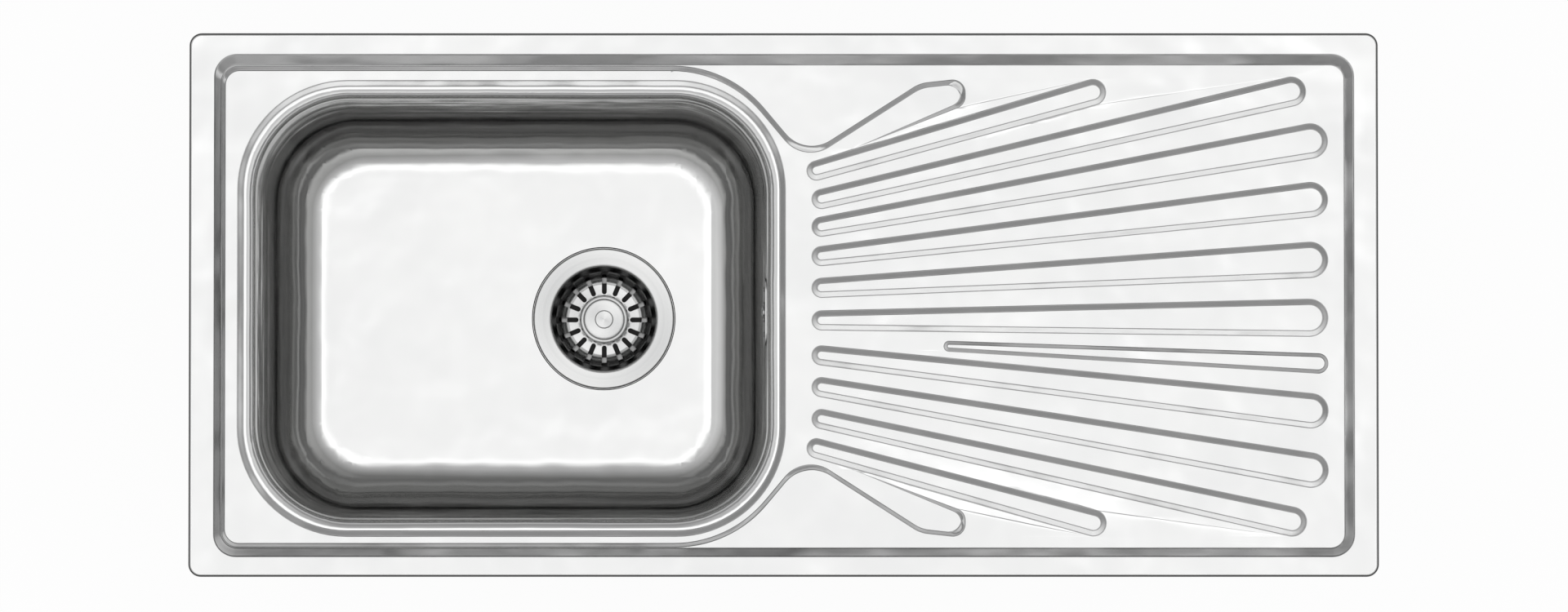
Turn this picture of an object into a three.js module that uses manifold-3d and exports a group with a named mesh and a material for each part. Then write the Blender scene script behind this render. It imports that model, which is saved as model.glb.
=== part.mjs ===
// An inset kitchen sink in pressed stainless steel. One deep bowl lies on the left and a
// ribbed drainboard on the right, with a basket strainer, an overflow and clips underneath.
// Millimetres, +Z up. The origin is the middle of the outline on the worktop's top face.
// +X runs towards the drainboard and +Y to the back.
import * as THREE from 'three';
import { mergeVertices } from 'three/addons/utils/BufferGeometryUtils.js';
import Module from 'manifold-3d';

// ---- Driving sizes ----

// The sheet and its outline
const sinkLength = 950;
const sinkWidth = 435;
const outlineRadius = 10;
const sheet = 1;
const rimHeight = 5;
const foldGap = 0.5;
const rimLeft = 20;
const rimRight = 19.3;
const rimBack = 17;
const rimFront = 16;
const frameRadius = 18;
const frameFootRadius = 11;

// Levels below the rim, and how far each slope runs for each millimetre that it drops
const plateauDrop = 6;
const ledgeDrop = 9;
const runLeft = 0.98;
const runRight = 1.35;
const runBack = 1.45;
const runFront = 1.25;
const centreShift = -2.5;

// The bowl, and the edges that it leaves to the outline
const bowlEdge = 34.5;
const bowlEdgeLeft = 37.9;
const bowlLength = 439;
const bowlWidth = sinkWidth - 2 * bowlEdge;
const bowlCentreX = bowlEdgeLeft + (bowlLength - sinkLength) / 2;
const bowlCorner = 0.24044 * bowlWidth;
const bandWidth = 5.4;
const bandDrop = 3;
const bowlDepth = 165;
const rollRadius = 10;
const wallFoot = 112;
const wallRun = 19.8;
const floorRadius = 34;
const bottomFillet = 43;
const floorFall = 1.5;

// The drainboard reaches from the bowl's mouth to the frame. Places on it are shares: along
// it of its length, and across it, from the centre line, of half the frame's depth.

// The step between the ledge and the drainboard, with a leaf-shaped channel at each end
const stepAngle = 50;
const stepRadius = bowlCorner + 5;
const hollow = { alongShare: 0.0326, acrossShare: 0.5906 };
const hollowRadius = 29;
const leafShoulder = { alongShare: 0.2371, acrossShare: 0.8866 };
const leafShoulderRadius = 25;
const leafTip = { alongShare: 0.312, acrossShare: 0.9055, heightShare: 0.0896 };
const leafTipRadius = 8.5;
const leafRoot = { alongShare: 0.1192 };

// The ribs of the drainboard. A row has the place of its rib's left end, across the
// drainboard, the same of its right end, the length that it reaches and its right end's height.
const ribHeight = 2.8;
const ribWall = 4.6;
const ribStartShares = { usual: 0.0454, outer: 0.0366, narrow: 0.2779 };
const ribReachShares = { long: 0.9544, middle: 0.916, short: 0.5637 };
const ribEndShares = { usual: 0.0388, narrow: 0.0209 };
const ribRows = [
  { leftShare: 0.5483, rightShare: 0.8597, reachShare: ribReachShares.short, heightShare: 0.104,
    startShare: ribStartShares.outer },
  { leftShare: 0.4348, rightShare: 0.8627, reachShare: ribReachShares.middle, heightShare: 0.1164 },
  { leftShare: 0.3244, rightShare: 0.6652, reachShare: ribReachShares.long, heightShare: 0.1393 },
  { leftShare: 0.2075, rightShare: 0.4313, reachShare: ribReachShares.long, heightShare: 0.1393 },
  { leftShare: 0.0811, rightShare: 0.1915, reachShare: ribReachShares.long, heightShare: 0.1423 },
  { leftShare: -0.0488, rightShare: -0.0388, reachShare: ribReachShares.long, heightShare: 0.1493 },
  { leftShare: -0.1517, rightShare: -0.2204, reachShare: ribReachShares.long, heightShare: 0.0796,
    startShare: ribStartShares.narrow, endShare: ribEndShares.narrow },
  { leftShare: -0.1881, rightShare: -0.409, reachShare: ribReachShares.long, heightShare: 0.1383 },
  { leftShare: -0.3144, rightShare: -0.6453, reachShare: ribReachShares.long, heightShare: 0.1383 },
  { leftShare: -0.4413, rightShare: -0.8498, reachShare: ribReachShares.middle, heightShare: 0.1164 },
  { leftShare: -0.5577, rightShare: -0.8552, reachShare: ribReachShares.short, heightShare: 0.104,
    startShare: ribStartShares.outer },
];

// The basket strainer and the waste below it
const wasteFromBowlX = 0.16173 * bowlLength;
const wasteFromBowlY = -2;
const recessDepth = 2;
const recessRun = 2;
const recessGap = 0.8;
const flangeRadius = 58;
const flangeThickness = 1.2;
const flangeProud = 0.3;
const flangeRoll = 2.2;
const floorHoleRadius = 45;
const cupRadius = 42.3;
const cupFootRadius = 37;
const cupDepth = 36;
const cupWall = 1;
const cupFootBend = 3;
const cupHoles = 8;
const cupHoleRadius = 5;
const cupHoleCircle = 22;
const basketRadius = 39;
const basketTopDrop = 8;
const basketHeight = 19;
const basketWall = 0.9;
const basketFloorRadius = 28;
const slotCount = 16;
const slotWidth = 4;
const slotInner = 21;
const slotOuter = 37.4;
const knobRadius = 20;
const knobThickness = 3;
const knobRing = 1.5;
const knobRise = 8;
const stemRadius = 4;
const stemHeadRadius = 7.5;
const stemHeadHeight = 1.8;
const stopperRadius = 30;
const stopperThickness = 5;
const stopperHubRadius = 9;
const boltRadius = 3;
const boltLength = 20;
const boltHeadRadius = 6.5;
const boltHeadHeight = 2.5;
const gasketThickness = 3;
const bodyRadius = 49;
const bodyWall = 2.5;
const bodyDepth = 38;
const bodyFlange = 3.5;
const coneDepth = 12;
const bossRadius = 7;
const bossHeight = 12;
const armCount = 4;
const armWidth = 3;
const armHeight = 6;
const outletRadius = 23;
const outletWall = 3;
const outletLength = 40;
const threadCount = 8;
const threadPitch = 3;
const threadHeight = 1.2;
const spigotLength = 14;
const spigotDrop = 21;

// The overflow in the bowl's wall beside the drainboard
const overflowDrop = 32;
const plateLength = 55;
const plateHeight = 22;
const plateThickness = 1.2;
const plateSlots = 4;
const plateSlotWidth = 4;
const plateSlotPitch = 12;
const overflowHoleMargin = 5;
const overflowGasket = 2;
const housingWall = 2;
const housingBoss = 4.5;
const overflowScrewRadius = 2;
const overflowScrewHead = 3.8;
const overflowScrewHeight = 2;
const overflowScrewLength = 18;
const hoseRadius = 12;
const hoseRoot = 10.6;
const hoseBore = 9;
const hoseBend = 60;
const ribPitch = 4.6;
const hoseNutWall = 3;
const hoseNutLength = 16;

// The seal under the rim, the pads and the clips
const sealInset = 3;
const sealWidth = 7;
const padThickness = 2.5;
const padMargin = 14;
const clipSheet = 1.5;
const clipWidth = 12;
const clipLegInset = 13.5;
const clipFoot = 30;
const clipFootLength = 19;
const clipLegLength = 60;
const clipScrewInset = 26;
const clipScrewRadius = 2.9;
const clipTravel = 14;
const jawWidth = 20;
const jawTop = 42;
const jawThickness = 4;
const jawToothDepth = 1.2;
const jawTooth = 2;
const jawTeeth = 2;
const jawInset = 1.5;
const jawHeel = 7;
const screwHeadRadius = 5.5;
const screwHeadHeight = 4;
const nutFlats = 10;
const nutHeight = 5;
const backClipShares = [-0.34737, 0.02105, 0.34737];

// Clearances
const seat = 0.1;
const fit = 0.3;
const looseFit = 0.6;

// ---- Finishes ----

const steel = new THREE.MeshStandardMaterial({ color: 0xe4e4e2, roughness: 0.25, metalness: 1 });
const brightSteel = new THREE.MeshStandardMaterial({ color: 0xd9d9d6, roughness: 0.15, metalness: 1 });
const zincSteel = new THREE.MeshStandardMaterial({ color: 0xb6b9bc, roughness: 0.45, metalness: 1 });
const rubber = new THREE.MeshStandardMaterial({ color: 0x1d1d1f, roughness: 0.8, metalness: 0 });
const plastic = new THREE.MeshStandardMaterial({ color: 0xe9e9e6, roughness: 0.5, metalness: 0 });
const padding = new THREE.MeshStandardMaterial({ color: 0x5b5d60, roughness: 0.95, metalness: 0 });

const sink = new THREE.Group();

function addNode(name, geometry, finish, place = sink) {
  const mesh = new THREE.Mesh(geometry, finish);
  mesh.name = name;
  place.add(mesh);
  return mesh;
}

// ---- Solids from loops ----

const mergeTolerance = 1e-4;

// Gathers triangles into one closed body. Loops run anticlockwise seen from above.
class Body {
  constructor() {
    this.points = [];
  }

  triangle(a, b, c) {
    for (const p of [a, b, c]) this.points.push(p.x, p.y, p.z);
  }

  // Joins two lines of the same count. It faces out where the second loop is above the
  // first, up where it lies inside the first, and the other way where they change places.
  strip(first, second, closed = true) {
    const count = closed ? first.length : first.length - 1;
    for (let i = 0; i < count; i++) {
      const next = (i + 1) % first.length;
      this.triangle(first[i], first[next], second[next]);
      this.triangle(first[i], second[next], second[i]);
    }
  }

  // Fills an outline with holes in it, facing up or down.
  fill(outline, holes, up) {
    const flat = (loop) => loop.map((p) => new THREE.Vector2(p.x, p.y));
    const corners = [outline, ...holes].flat();
    for (const [i, j, k] of THREE.ShapeUtils.triangulateShape(flat(outline), holes.map(flat))) {
      const [a, b, c] = [corners[i], corners[j], corners[k]];
      const turn = (b.x - a.x) * (c.y - a.y) - (b.y - a.y) * (c.x - a.x);
      if (turn > 0 === up) this.triangle(a, b, c);
      else this.triangle(a, c, b);
    }
  }

  geometry() {
    const loose = new THREE.BufferGeometry();
    loose.setAttribute('position', new THREE.Float32BufferAttribute(this.points, 3));
    return welded(loose);
  }
}

// Joins the corners that meet and drops the triangles that have shrunk to a line.
function welded(geometry) {
  const bare = new THREE.BufferGeometry();
  bare.setAttribute('position', geometry.getAttribute('position').clone());
  if (geometry.index) bare.setIndex(geometry.index.clone());
  const merged = mergeVertices(bare, mergeTolerance);
  const kept = [];
  const { array } = merged.index;
  for (let i = 0; i < array.length; i += 3) {
    const [a, b, c] = array.slice(i, i + 3);
    if (a !== b && b !== c && c !== a) kept.push(a, b, c);
  }
  merged.setIndex(kept);
  return merged;
}

const lowered = (loop, drop) => loop.map((p) => new THREE.Vector3(p.x, p.y, p.z - drop));

// A line through corners, each rounded to its radius. A point keeps its corner's height.
function rounded(corners, steps, closed = true) {
  const line = [];
  const count = corners.length;
  corners.forEach((corner, i) => {
    const at = new THREE.Vector2(corner.x, corner.y);
    if (!corner.radius || (!closed && (i === 0 || i === count - 1))) {
      line.push(new THREE.Vector3(at.x, at.y, corner.z));
      return;
    }
    const before = corners[(i + count - 1) % count];
    const after = corners[(i + 1) % count];
    const inwards = new THREE.Vector2(at.x - before.x, at.y - before.y).normalize();
    const outwards = new THREE.Vector2(after.x - at.x, after.y - at.y).normalize();
    const turn = Math.atan2(inwards.cross(outwards), inwards.dot(outwards));
    const start = at.clone().addScaledVector(inwards, -corner.radius * Math.tan(Math.abs(turn) / 2));
    const side = new THREE.Vector2(-inwards.y, inwards.x).multiplyScalar(Math.sign(turn));
    const centre = start.clone().addScaledVector(side, corner.radius);
    for (let k = 0; k <= steps; k++) {
      const p = start.clone().rotateAround(centre, (turn * k) / steps);
      line.push(new THREE.Vector3(p.x, p.y, corner.z));
    }
  });
  return line;
}

function roundedRectangle({ left, right, front, back, radius, z }, steps) {
  return rounded([
    { x: right, y: front, z, radius },
    { x: right, y: back, z, radius },
    { x: left, y: back, z, radius },
    { x: left, y: front, z, radius },
  ], steps);
}

function circle(centreX, centreY, radius, z, steps) {
  return Array.from({ length: steps }, (_, i) => {
    const angle = (2 * Math.PI * i) / steps;
    return new THREE.Vector3(centreX + radius * Math.cos(angle), centreY + radius * Math.sin(angle), z);
  });
}

// A body of revolution about Z from a profile of [radius, height] points.
function turned(profile, steps) {
  const points = profile.map(([radius, height]) => new THREE.Vector2(radius, height));
  return welded(new THREE.LatheGeometry(points, steps).rotateX(Math.PI / 2));
}

// A round rod along Z.
function rod(radius, low, high, steps) {
  return new THREE.CylinderGeometry(radius, radius, high - low, steps)
    .rotateX(Math.PI / 2).translate(0, 0, (low + high) / 2);
}

// A ring-shaped profile that closes on itself.
const ringProfile = (inner, outer, low, high) => [
  [inner, low], [outer, low], [outer, high], [inner, high], [inner, low],
];

function extruded(shape, depth, curveSegments) {
  return new THREE.ExtrudeGeometry(shape, { depth, bevelEnabled: false, curveSegments });
}

// A long shape with round ends, lying along X about a centre.
function oblong(length, height) {
  const radius = height / 2;
  const reach = length / 2 - radius;
  const shape = new THREE.Shape();
  shape.absarc(reach, 0, radius, -Math.PI / 2, Math.PI / 2);
  shape.absarc(-reach, 0, radius, Math.PI / 2, (3 * Math.PI) / 2);
  shape.closePath();
  return shape;
}

// ---- Cutting and joining ----

const wasm = await Module();
wasm.setup();

function solid(geometry) {
  const merged = welded(geometry);
  return new wasm.Manifold(new wasm.Mesh({
    numProp: 3,
    vertProperties: new Float32Array(merged.getAttribute('position').array),
    triVerts: new Uint32Array(merged.index.array),
  }));
}

function fromSolid(manifold) {
  const { vertProperties, triVerts } = manifold.getMesh();
  const geometry = new THREE.BufferGeometry();
  geometry.setAttribute('position', new THREE.Float32BufferAttribute(vertProperties, 3));
  geometry.setIndex(Array.from(triVerts));
  return geometry;
}

function cut(base, ...tools) {
  return fromSolid(tools.reduce((left, tool) => left.subtract(solid(tool)), solid(base)));
}

function joined(base, ...others) {
  return fromSolid(others.reduce((whole, other) => whole.add(solid(other)), solid(base)));
}

// ---- Levels and edges that several pieces share ----

const plateauZ = rimHeight - plateauDrop;
const ledgeZ = rimHeight - ledgeDrop;
const mouthZ = ledgeZ - bandDrop;
const floorZ = rimHeight - bowlDepth;
const frame = {
  left: rimLeft - sinkLength / 2,
  right: sinkLength / 2 - rimRight,
  front: rimFront - sinkWidth / 2,
  back: sinkWidth / 2 - rimBack,
};

const drainLeft = bowlCentreX + bowlLength / 2;
const drainHalf = (frame.back - frame.front) / 2;
const alongDrain = (share) => drainLeft + share * (frame.right - drainLeft);
const acrossDrain = (share) => share * drainHalf;

// The foot of the frame's slope at a drop below the rim.
const frameFoot = (drop) => ({
  left: frame.left + drop * runLeft,
  right: frame.right - drop * runRight,
  front: frame.front + drop * runFront,
  back: frame.back - drop * runBack,
});

// ---- The deck: rim, ledge round the bowl and drainboard ----

const cornerSteps = 4;
const bowlCornerSteps = 8;
const stepSteps = 6;
const ribRightSteps = 6;
const ribLeftSteps = 4;

// Where the step leaves the frame's slope on one side: it starts along the slope's foot.
function stepPlan(side) {
  const edge = side > 0 ? 'back' : 'front';
  const plateauReach = side * (frameFoot(plateauDrop)[edge] - centreShift);
  const ledgeReach = side * (frameFoot(ledgeDrop)[edge] - centreShift);
  const middle = (plateauReach + ledgeReach) / 2;
  const half = (plateauReach - ledgeReach) / 2;
  const angle = THREE.MathUtils.degToRad(stepAngle);
  const bendX = alongDrain(hollow.alongShare) - (middle - acrossDrain(hollow.acrossShare)) / Math.tan(angle);
  const startX = bendX - stepRadius * Math.tan(angle / 2);
  return { side, middle, half, bendX, startX };
}

const backPlan = stepPlan(1);
const frontPlan = stepPlan(-1);

// A loop of the frame that drops from the plateau's level to the ledge's where the steps start.
function frameLoop(plateau, ledge, radius, plateauLevel, ledgeLevel) {
  return rounded([
    { x: plateau.right, y: plateau.front, z: plateauLevel, radius },
    { x: plateau.right, y: plateau.back, z: plateauLevel, radius },
    { x: backPlan.startX, y: plateau.back, z: plateauLevel },
    { x: backPlan.startX, y: ledge.back, z: ledgeLevel },
    { x: ledge.left, y: ledge.back, z: ledgeLevel, radius },
    { x: ledge.left, y: ledge.front, z: ledgeLevel, radius },
    { x: frontPlan.startX, y: ledge.front, z: ledgeLevel },
    { x: frontPlan.startX, y: plateau.front, z: plateauLevel },
  ], cornerSteps);
}

// The outline has the same corners as the frame's loops, so that they join one to one.
function outlineLoop(inset, z) {
  const edges = {
    left: inset - sinkLength / 2,
    right: sinkLength / 2 - inset,
    front: inset - sinkWidth / 2,
    back: sinkWidth / 2 - inset,
  };
  return frameLoop(edges, edges, outlineRadius - inset, z, z);
}

const ribs = ribRows.map(({
  leftShare, rightShare, reachShare, heightShare,
  startShare = ribStartShares.usual, endShare = ribEndShares.usual,
}) => {
  const leftRadius = acrossDrain(endShare);
  const rightRadius = acrossDrain(heightShare) / 2;
  const startX = alongDrain(startShare) + leftRadius;
  const reach = alongDrain(reachShare);
  return {
    left: new THREE.Vector2(startX, centreShift + acrossDrain(leftShare)),
    right: new THREE.Vector2(reach - rightRadius, centreShift + acrossDrain(rightShare)),
    leftRadius,
    rightRadius,
    wall: Math.min(ribWall, 0.7 * leftRadius),
    reach,
  };
});

// The floor between the ribs rises from the ledge's level at a rib's left end to the
// plateau's at its right end.
function floorLevel(x, start, reach) {
  return ledgeZ + (plateauZ - ledgeZ) * THREE.MathUtils.clamp((x - start) / (reach - start), 0, 1);
}

const lanesStart = alongDrain(ribStartShares.usual);

// The outline of a rib, drawn in by an inset: two round ends and the lines that touch both.
function ribLoop(rib, inset, rise) {
  const along = rib.right.clone().sub(rib.left);
  const heading = along.angle();
  const spread = Math.asin((rib.rightRadius - rib.leftRadius) / along.length());
  const loop = [];
  const arc = (centre, radius, from, to, steps) => {
    for (let k = 0; k <= steps; k++) {
      const angle = heading + from + ((to - from) * k) / steps;
      const x = centre.x + radius * Math.cos(angle);
      loop.push(new THREE.Vector3(
        x, centre.y + radius * Math.sin(angle), floorLevel(x, lanesStart, rib.reach) + rise));
    }
  };
  const half = Math.PI / 2 + spread;
  arc(rib.right, rib.rightRadius - inset, -half, half, ribRightSteps);
  arc(rib.left, rib.leftRadius - inset, half, 2 * Math.PI - half, ribLeftSteps);
  return loop;
}

// The step's path on one side, as corners measured from the centre line. It leaves the
// frame's slope, bends round the bowl's corner, turns at a hollow and runs round the leaf.
// An offset moves it sideways: to the left is the plateau's side. Both sides end at the
// leaf's root, close above the outer rib, where the step has run out.
function stepLine({ side, middle, bendX, startX }, offset, z) {
  const rib = side > 0 ? ribs[0] : ribs[ribs.length - 1];
  const axis = rib.right.clone().sub(rib.left);
  const rootX = alongDrain(leafRoot.alongShare);
  const share = (rootX - rib.left.x) / axis.x;
  const ribMiddle = side * (rib.left.y + axis.y * share - centreShift);
  const ribHalf = rib.leftRadius + (rib.rightRadius - rib.leftRadius) * share;
  const rootReach = ribMiddle + ribHalf / Math.cos(Math.abs(Math.atan2(axis.y, axis.x))) + 3 * fit;
  const placed = ({ alongShare, acrossShare }, radius) => ({
    x: alongDrain(alongShare), y: acrossDrain(acrossShare), radius,
  });
  const leafFoot = {
    alongShare: leafTip.alongShare, acrossShare: leafTip.acrossShare - leafTip.heightShare,
  };
  const corners = [
    { x: startX, y: middle, radius: 0 },
    { x: bendX, y: middle, radius: stepRadius },
    placed(hollow, hollowRadius),
    placed(leafShoulder, leafShoulderRadius),
    placed(leafTip, leafTipRadius),
    placed(leafFoot, leafTipRadius),
    { x: rootX, y: rootReach, radius: 0 },
  ];
  const shifted = corners.map((corner, i) => shiftedCorner(corners, i, offset));
  return rounded(shifted.map((corner) => ({
    x: corner.x, y: centreShift + side * corner.y, z, radius: corner.radius,
  })), stepSteps, false);
}

// A corner of an open line, moved to the left by an offset. The last one stays in place.
function shiftedCorner(corners, i, offset) {
  const at = new THREE.Vector2(corners[i].x, corners[i].y);
  if (i === corners.length - 1) return { x: at.x, y: at.y, radius: 0 };
  const out = new THREE.Vector2(corners[i + 1].x, corners[i + 1].y).sub(at).normalize();
  if (i === 0) return { x: at.x - out.y * offset, y: at.y + out.x * offset, radius: 0 };
  const into = at.clone().sub(new THREE.Vector2(corners[i - 1].x, corners[i - 1].y)).normalize();
  const turn = Math.atan2(into.cross(out), into.dot(out));
  const bisector = new THREE.Vector2(-into.y - out.y, into.x + out.x).normalize();
  const shift = bisector.multiplyScalar(offset / Math.cos(turn / 2));
  return { x: at.x + shift.x, y: at.y + shift.y, radius: corners[i].radius - Math.sign(turn) * offset };
}

function makeDeck() {
  const plateauFoot = frameFoot(plateauDrop);
  const ledgeFoot = frameFoot(ledgeDrop);
  const frameTop = frameLoop(frame, frame, frameRadius, rimHeight, rimHeight);
  const frameBase = frameLoop(plateauFoot, ledgeFoot, frameFootRadius, plateauZ, ledgeZ);

  // Each side's step has a line on the plateau and one on the ledge. The leaf's lower side
  // runs out at its root, with the floor between the ribs.
  const [backStep, frontStep] = [backPlan, frontPlan].map((plan) => {
    const plateauLine = stepLine(plan, plan.half, plateauZ);
    plateauLine.slice(-stepSteps - 2).forEach((p) => {
      p.z = floorLevel(p.x, alongDrain(leafRoot.alongShare), alongDrain(leafTip.alongShare));
    });
    return { plateauLine, ledgeLine: stepLine(plan, -plan.half, ledgeZ) };
  });

  // The frame's foot is split where the steps start: the drainboard's part comes first.
  const backStart = 2 * (cornerSteps + 1);
  const frontStart = backStart + 2 + 2 * (cornerSteps + 1);
  const floorOutline = [
    ...frameBase.slice(0, backStart),
    ...backStep.plateauLine,
    ...backStep.ledgeLine.slice(0, -1).reverse(),
    ...frameBase.slice(backStart + 2, frontStart),
    ...frontStep.ledgeLine,
    ...frontStep.plateauLine.slice(0, -1).reverse(),
  ];
  const bandOuter = bowlRectangle(0, ledgeZ);
  const bandInner = bowlRectangle(bandWidth, mouthZ);
  const ribFeet = ribs.map((rib) => ribLoop(rib, 0, 0));
  const ribTops = ribs.map((rib) => ribLoop(rib, rib.wall, ribHeight));

  const deck = new Body();
  for (const [drop, up] of [[0, true], [sheet, false]]) {
    const level = (loop) => lowered(loop, drop);
    const sloped = (outer, inner, closed = true) => {
      if (up) deck.strip(level(outer), level(inner), closed);
      else deck.strip(level(inner), level(outer), closed);
    };
    sloped(outlineLoop(drop, rimHeight), frameTop);
    sloped(frameTop, frameBase);
    sloped(backStep.ledgeLine, backStep.plateauLine, false);
    sloped(frontStep.plateauLine, frontStep.ledgeLine, false);
    sloped(bandOuter, bandInner);
    ribFeet.forEach((foot, i) => {
      sloped(foot, ribTops[i]);
      deck.fill(level(ribTops[i]), [], up);
    });
    deck.fill(level(floorOutline), [...ribFeet.map(level), level(bandOuter)], up);
  }
  // The folded edge and the edge at the bowl's mouth
  const foldFoot = outlineLoop(0, foldGap);
  const foldInside = outlineLoop(sheet, foldGap);
  deck.strip(foldFoot, outlineLoop(0, rimHeight));
  deck.strip(foldInside, foldFoot);
  deck.strip(lowered(outlineLoop(sheet, rimHeight), sheet), foldInside);
  deck.strip(bandInner, lowered(bandInner, sheet));
  return deck.geometry();
}

// ---- The bowl ----

// A loop of the bowl's plan, drawn in from the outer edge of its band by a run.
function bowlRectangle(run, z, radius = bowlCorner - run) {
  return roundedRectangle({
    left: bowlCentreX - bowlLength / 2 + run,
    right: bowlCentreX + bowlLength / 2 - run,
    front: centreShift - bowlWidth / 2 + run,
    back: centreShift + bowlWidth / 2 - run,
    radius,
    z,
  }, bowlCornerSteps);
}

const bowlRight = bowlCentreX + bowlLength / 2 - bandWidth;
const draft = Math.atan2(wallRun - rollRadius, wallFoot - rollRadius);
const wasteX = bowlCentreX + wasteFromBowlX;
const wasteY = centreShift + wasteFromBowlY;
const recessOuter = flangeRadius + recessGap + recessRun;
const roundSteps = 32;

// The bowl's wall as [run, drop] points below its mouth: a rolled edge, a drawn wall and a
// wide fillet down to the floor.
function bowlProfile() {
  const profile = [];
  const rollSteps = 4;
  for (let k = 0; k <= rollSteps; k++) {
    const angle = ((Math.PI / 2 - draft) * k) / rollSteps;
    profile.push([rollRadius * Math.sin(angle), rollRadius * (1 - Math.cos(angle))]);
  }
  const filletSteps = 7;
  const filletDrop = mouthZ - floorZ - floorFall - wallFoot;
  for (let k = 0; k <= filletSteps; k++) {
    const angle = ((Math.PI / 2) * k) / filletSteps;
    profile.push([
      wallRun + bottomFillet * (1 - Math.cos(angle)),
      wallFoot + filletDrop * Math.sin(angle),
    ]);
  }
  return profile;
}

// Moves a profile outwards by the sheet, square to its slope.
function sheetSide(profile) {
  return profile.map(([run, drop], i) => {
    const before = profile[Math.max(i - 1, 0)];
    const after = profile[Math.min(i + 1, profile.length - 1)];
    const slope = i === 0 ? 0 : Math.atan2(after[1] - before[1], after[0] - before[0]);
    const flat = i === profile.length - 1 ? 0 : slope;
    return [run - sheet * Math.sin(flat), drop + sheet * Math.cos(flat)];
  });
}

function makeBowl() {
  const inside = bowlProfile();
  const outside = sheetSide(inside);
  const lastRun = inside[inside.length - 1][0];
  const mouthCorner = bowlCorner - bandWidth;
  const loops = (profile) => profile.map(([run, drop]) => bowlRectangle(
    bandWidth + run, mouthZ - drop, mouthCorner + ((floorRadius - mouthCorner) * run) / lastRun));
  const insideLoops = loops(inside);
  const outsideLoops = loops(outside);
  const bowl = new Body();
  for (let i = 0; i < insideLoops.length - 1; i++) {
    bowl.strip(insideLoops[i], insideLoops[i + 1]);
    bowl.strip(outsideLoops[i + 1], outsideLoops[i]);
  }
  bowl.strip(outsideLoops[0], insideLoops[0]);
  const rings = [[recessOuter, 0], [recessOuter - recessRun, recessDepth], [floorHoleRadius, recessDepth]]
    .map(([radius, drop]) => circle(wasteX, wasteY, radius, floorZ - drop, roundSteps));
  const under = rings.map((ring) => lowered(ring, sheet));
  bowl.fill(insideLoops[insideLoops.length - 1], [rings[0]], true);
  bowl.fill(outsideLoops[outsideLoops.length - 1], [under[0]], false);
  for (const i of [0, 1]) {
    bowl.strip(rings[i], rings[i + 1]);
    bowl.strip(under[i + 1], under[i]);
  }
  bowl.strip(rings[2], under[2]);
  const opening = extruded(overflowOpening(0), 4 * sheet, oblongSteps).translate(0, 0, -2 * sheet);
  return cut(bowl.geometry(), opening.applyMatrix4(overflow.matrix));
}

// ---- The overflow's place: its own X runs along the wall, Y up and Z into the bowl ----

const oblongSteps = 4;
const overflowZ = rimHeight - overflowDrop;
const overflowRun = rollRadius + (mouthZ - overflowZ - rollRadius) * Math.tan(draft);
const overflow = new THREE.Group();
overflow.position.set(bowlRight - overflowRun, wasteY, overflowZ);
overflow.quaternion.setFromRotationMatrix(new THREE.Matrix4().makeBasis(
  new THREE.Vector3(0, -1, 0),
  new THREE.Vector3(Math.sin(draft), 0, Math.cos(draft)),
  new THREE.Vector3(-Math.cos(draft), 0, Math.sin(draft)),
));
sink.add(overflow);
overflow.updateMatrix();

// The opening in the wall, drawn in by a margin.
const overflowOpening = (inset) => oblong(
  plateLength - 2 * (overflowHoleMargin + inset), plateHeight - 2 * (overflowHoleMargin + inset));

// The steel plate in the bowl, with slots beside its screw.
function makeOverflowPlate() {
  const plate = oblong(plateLength, plateHeight);
  for (let i = 0; i < plateSlots; i++) {
    const x = (i - (plateSlots - 1) / 2) * plateSlotPitch;
    plate.holes.push(slotHole(x, plateHeight - 2 * overflowHoleMargin));
  }
  plate.holes.push(roundHole(overflowScrewRadius + fit));
  return extruded(plate, plateThickness, oblongSteps).translate(0, 0, seat);
}

function roundHole(radius) {
  return new THREE.Path().absarc(0, 0, radius, 0, 2 * Math.PI, true);
}

// An upright slot with round ends.
function slotHole(x, height) {
  const radius = plateSlotWidth / 2;
  const reach = height / 2 - radius;
  const hole = new THREE.Path();
  hole.absarc(x, reach, radius, 0, Math.PI);
  hole.absarc(x, -reach, radius, Math.PI, 2 * Math.PI);
  hole.closePath();
  return hole;
}

const overflowGasketTop = -sheet - seat;
const housingFace = overflowGasketTop - overflowGasket - seat;
const hoseAxisBehind = sheet + hoseRadius + hoseNutWall + 2 * looseFit;
const housingBack = -(hoseAxisBehind + hoseRadius);
const spigotEnd = -plateHeight / 2 - spigotLength;

function makeOverflowGasket() {
  const ring = oblong(plateLength, plateHeight);
  ring.holes.push(overflowOpening(0));
  return extruded(ring, overflowGasket, oblongSteps).translate(0, 0, overflowGasketTop - overflowGasket);
}

// The housing behind the wall: a hollow box with a boss for the screw and a spigot below.
function makeOverflowHousing() {
  const depth = housingFace - housingBack;
  const shell = extruded(oblong(plateLength, plateHeight), depth, oblongSteps).translate(0, 0, housingBack);
  const pocket = extruded(overflowOpening(housingWall - overflowHoleMargin), depth, oblongSteps)
    .translate(0, 0, housingBack + housingWall);
  const boss = rod(housingBoss, housingBack + housingWall / 2, housingFace, 2 * hoseSides);
  const screwBore = rod(overflowScrewRadius + fit, housingBack + housingWall, seat, 2 * hoseSides);
  const tube = rod(hoseRadius, spigotEnd, spigotEnd + spigotLength + housingWall, 2 * hoseSides);
  const bore = rod(
    hoseBore, spigotEnd - housingWall, spigotEnd + spigotLength + 2 * housingWall, 2 * hoseSides);
  for (const pipe of [tube, bore]) pipe.rotateX(-Math.PI / 2).translate(0, 0, -hoseAxisBehind);
  return cut(joined(cut(joined(cut(shell, pocket), tube), bore), boss), screwBore);
}

function makeOverflowScrew() {
  const low = plateThickness + 2 * seat;
  return turned(boltProfile(overflowScrewRadius, overflowScrewHead, overflowScrewHeight,
    low - overflowScrewLength, low), 2 * hoseSides);
}

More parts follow.
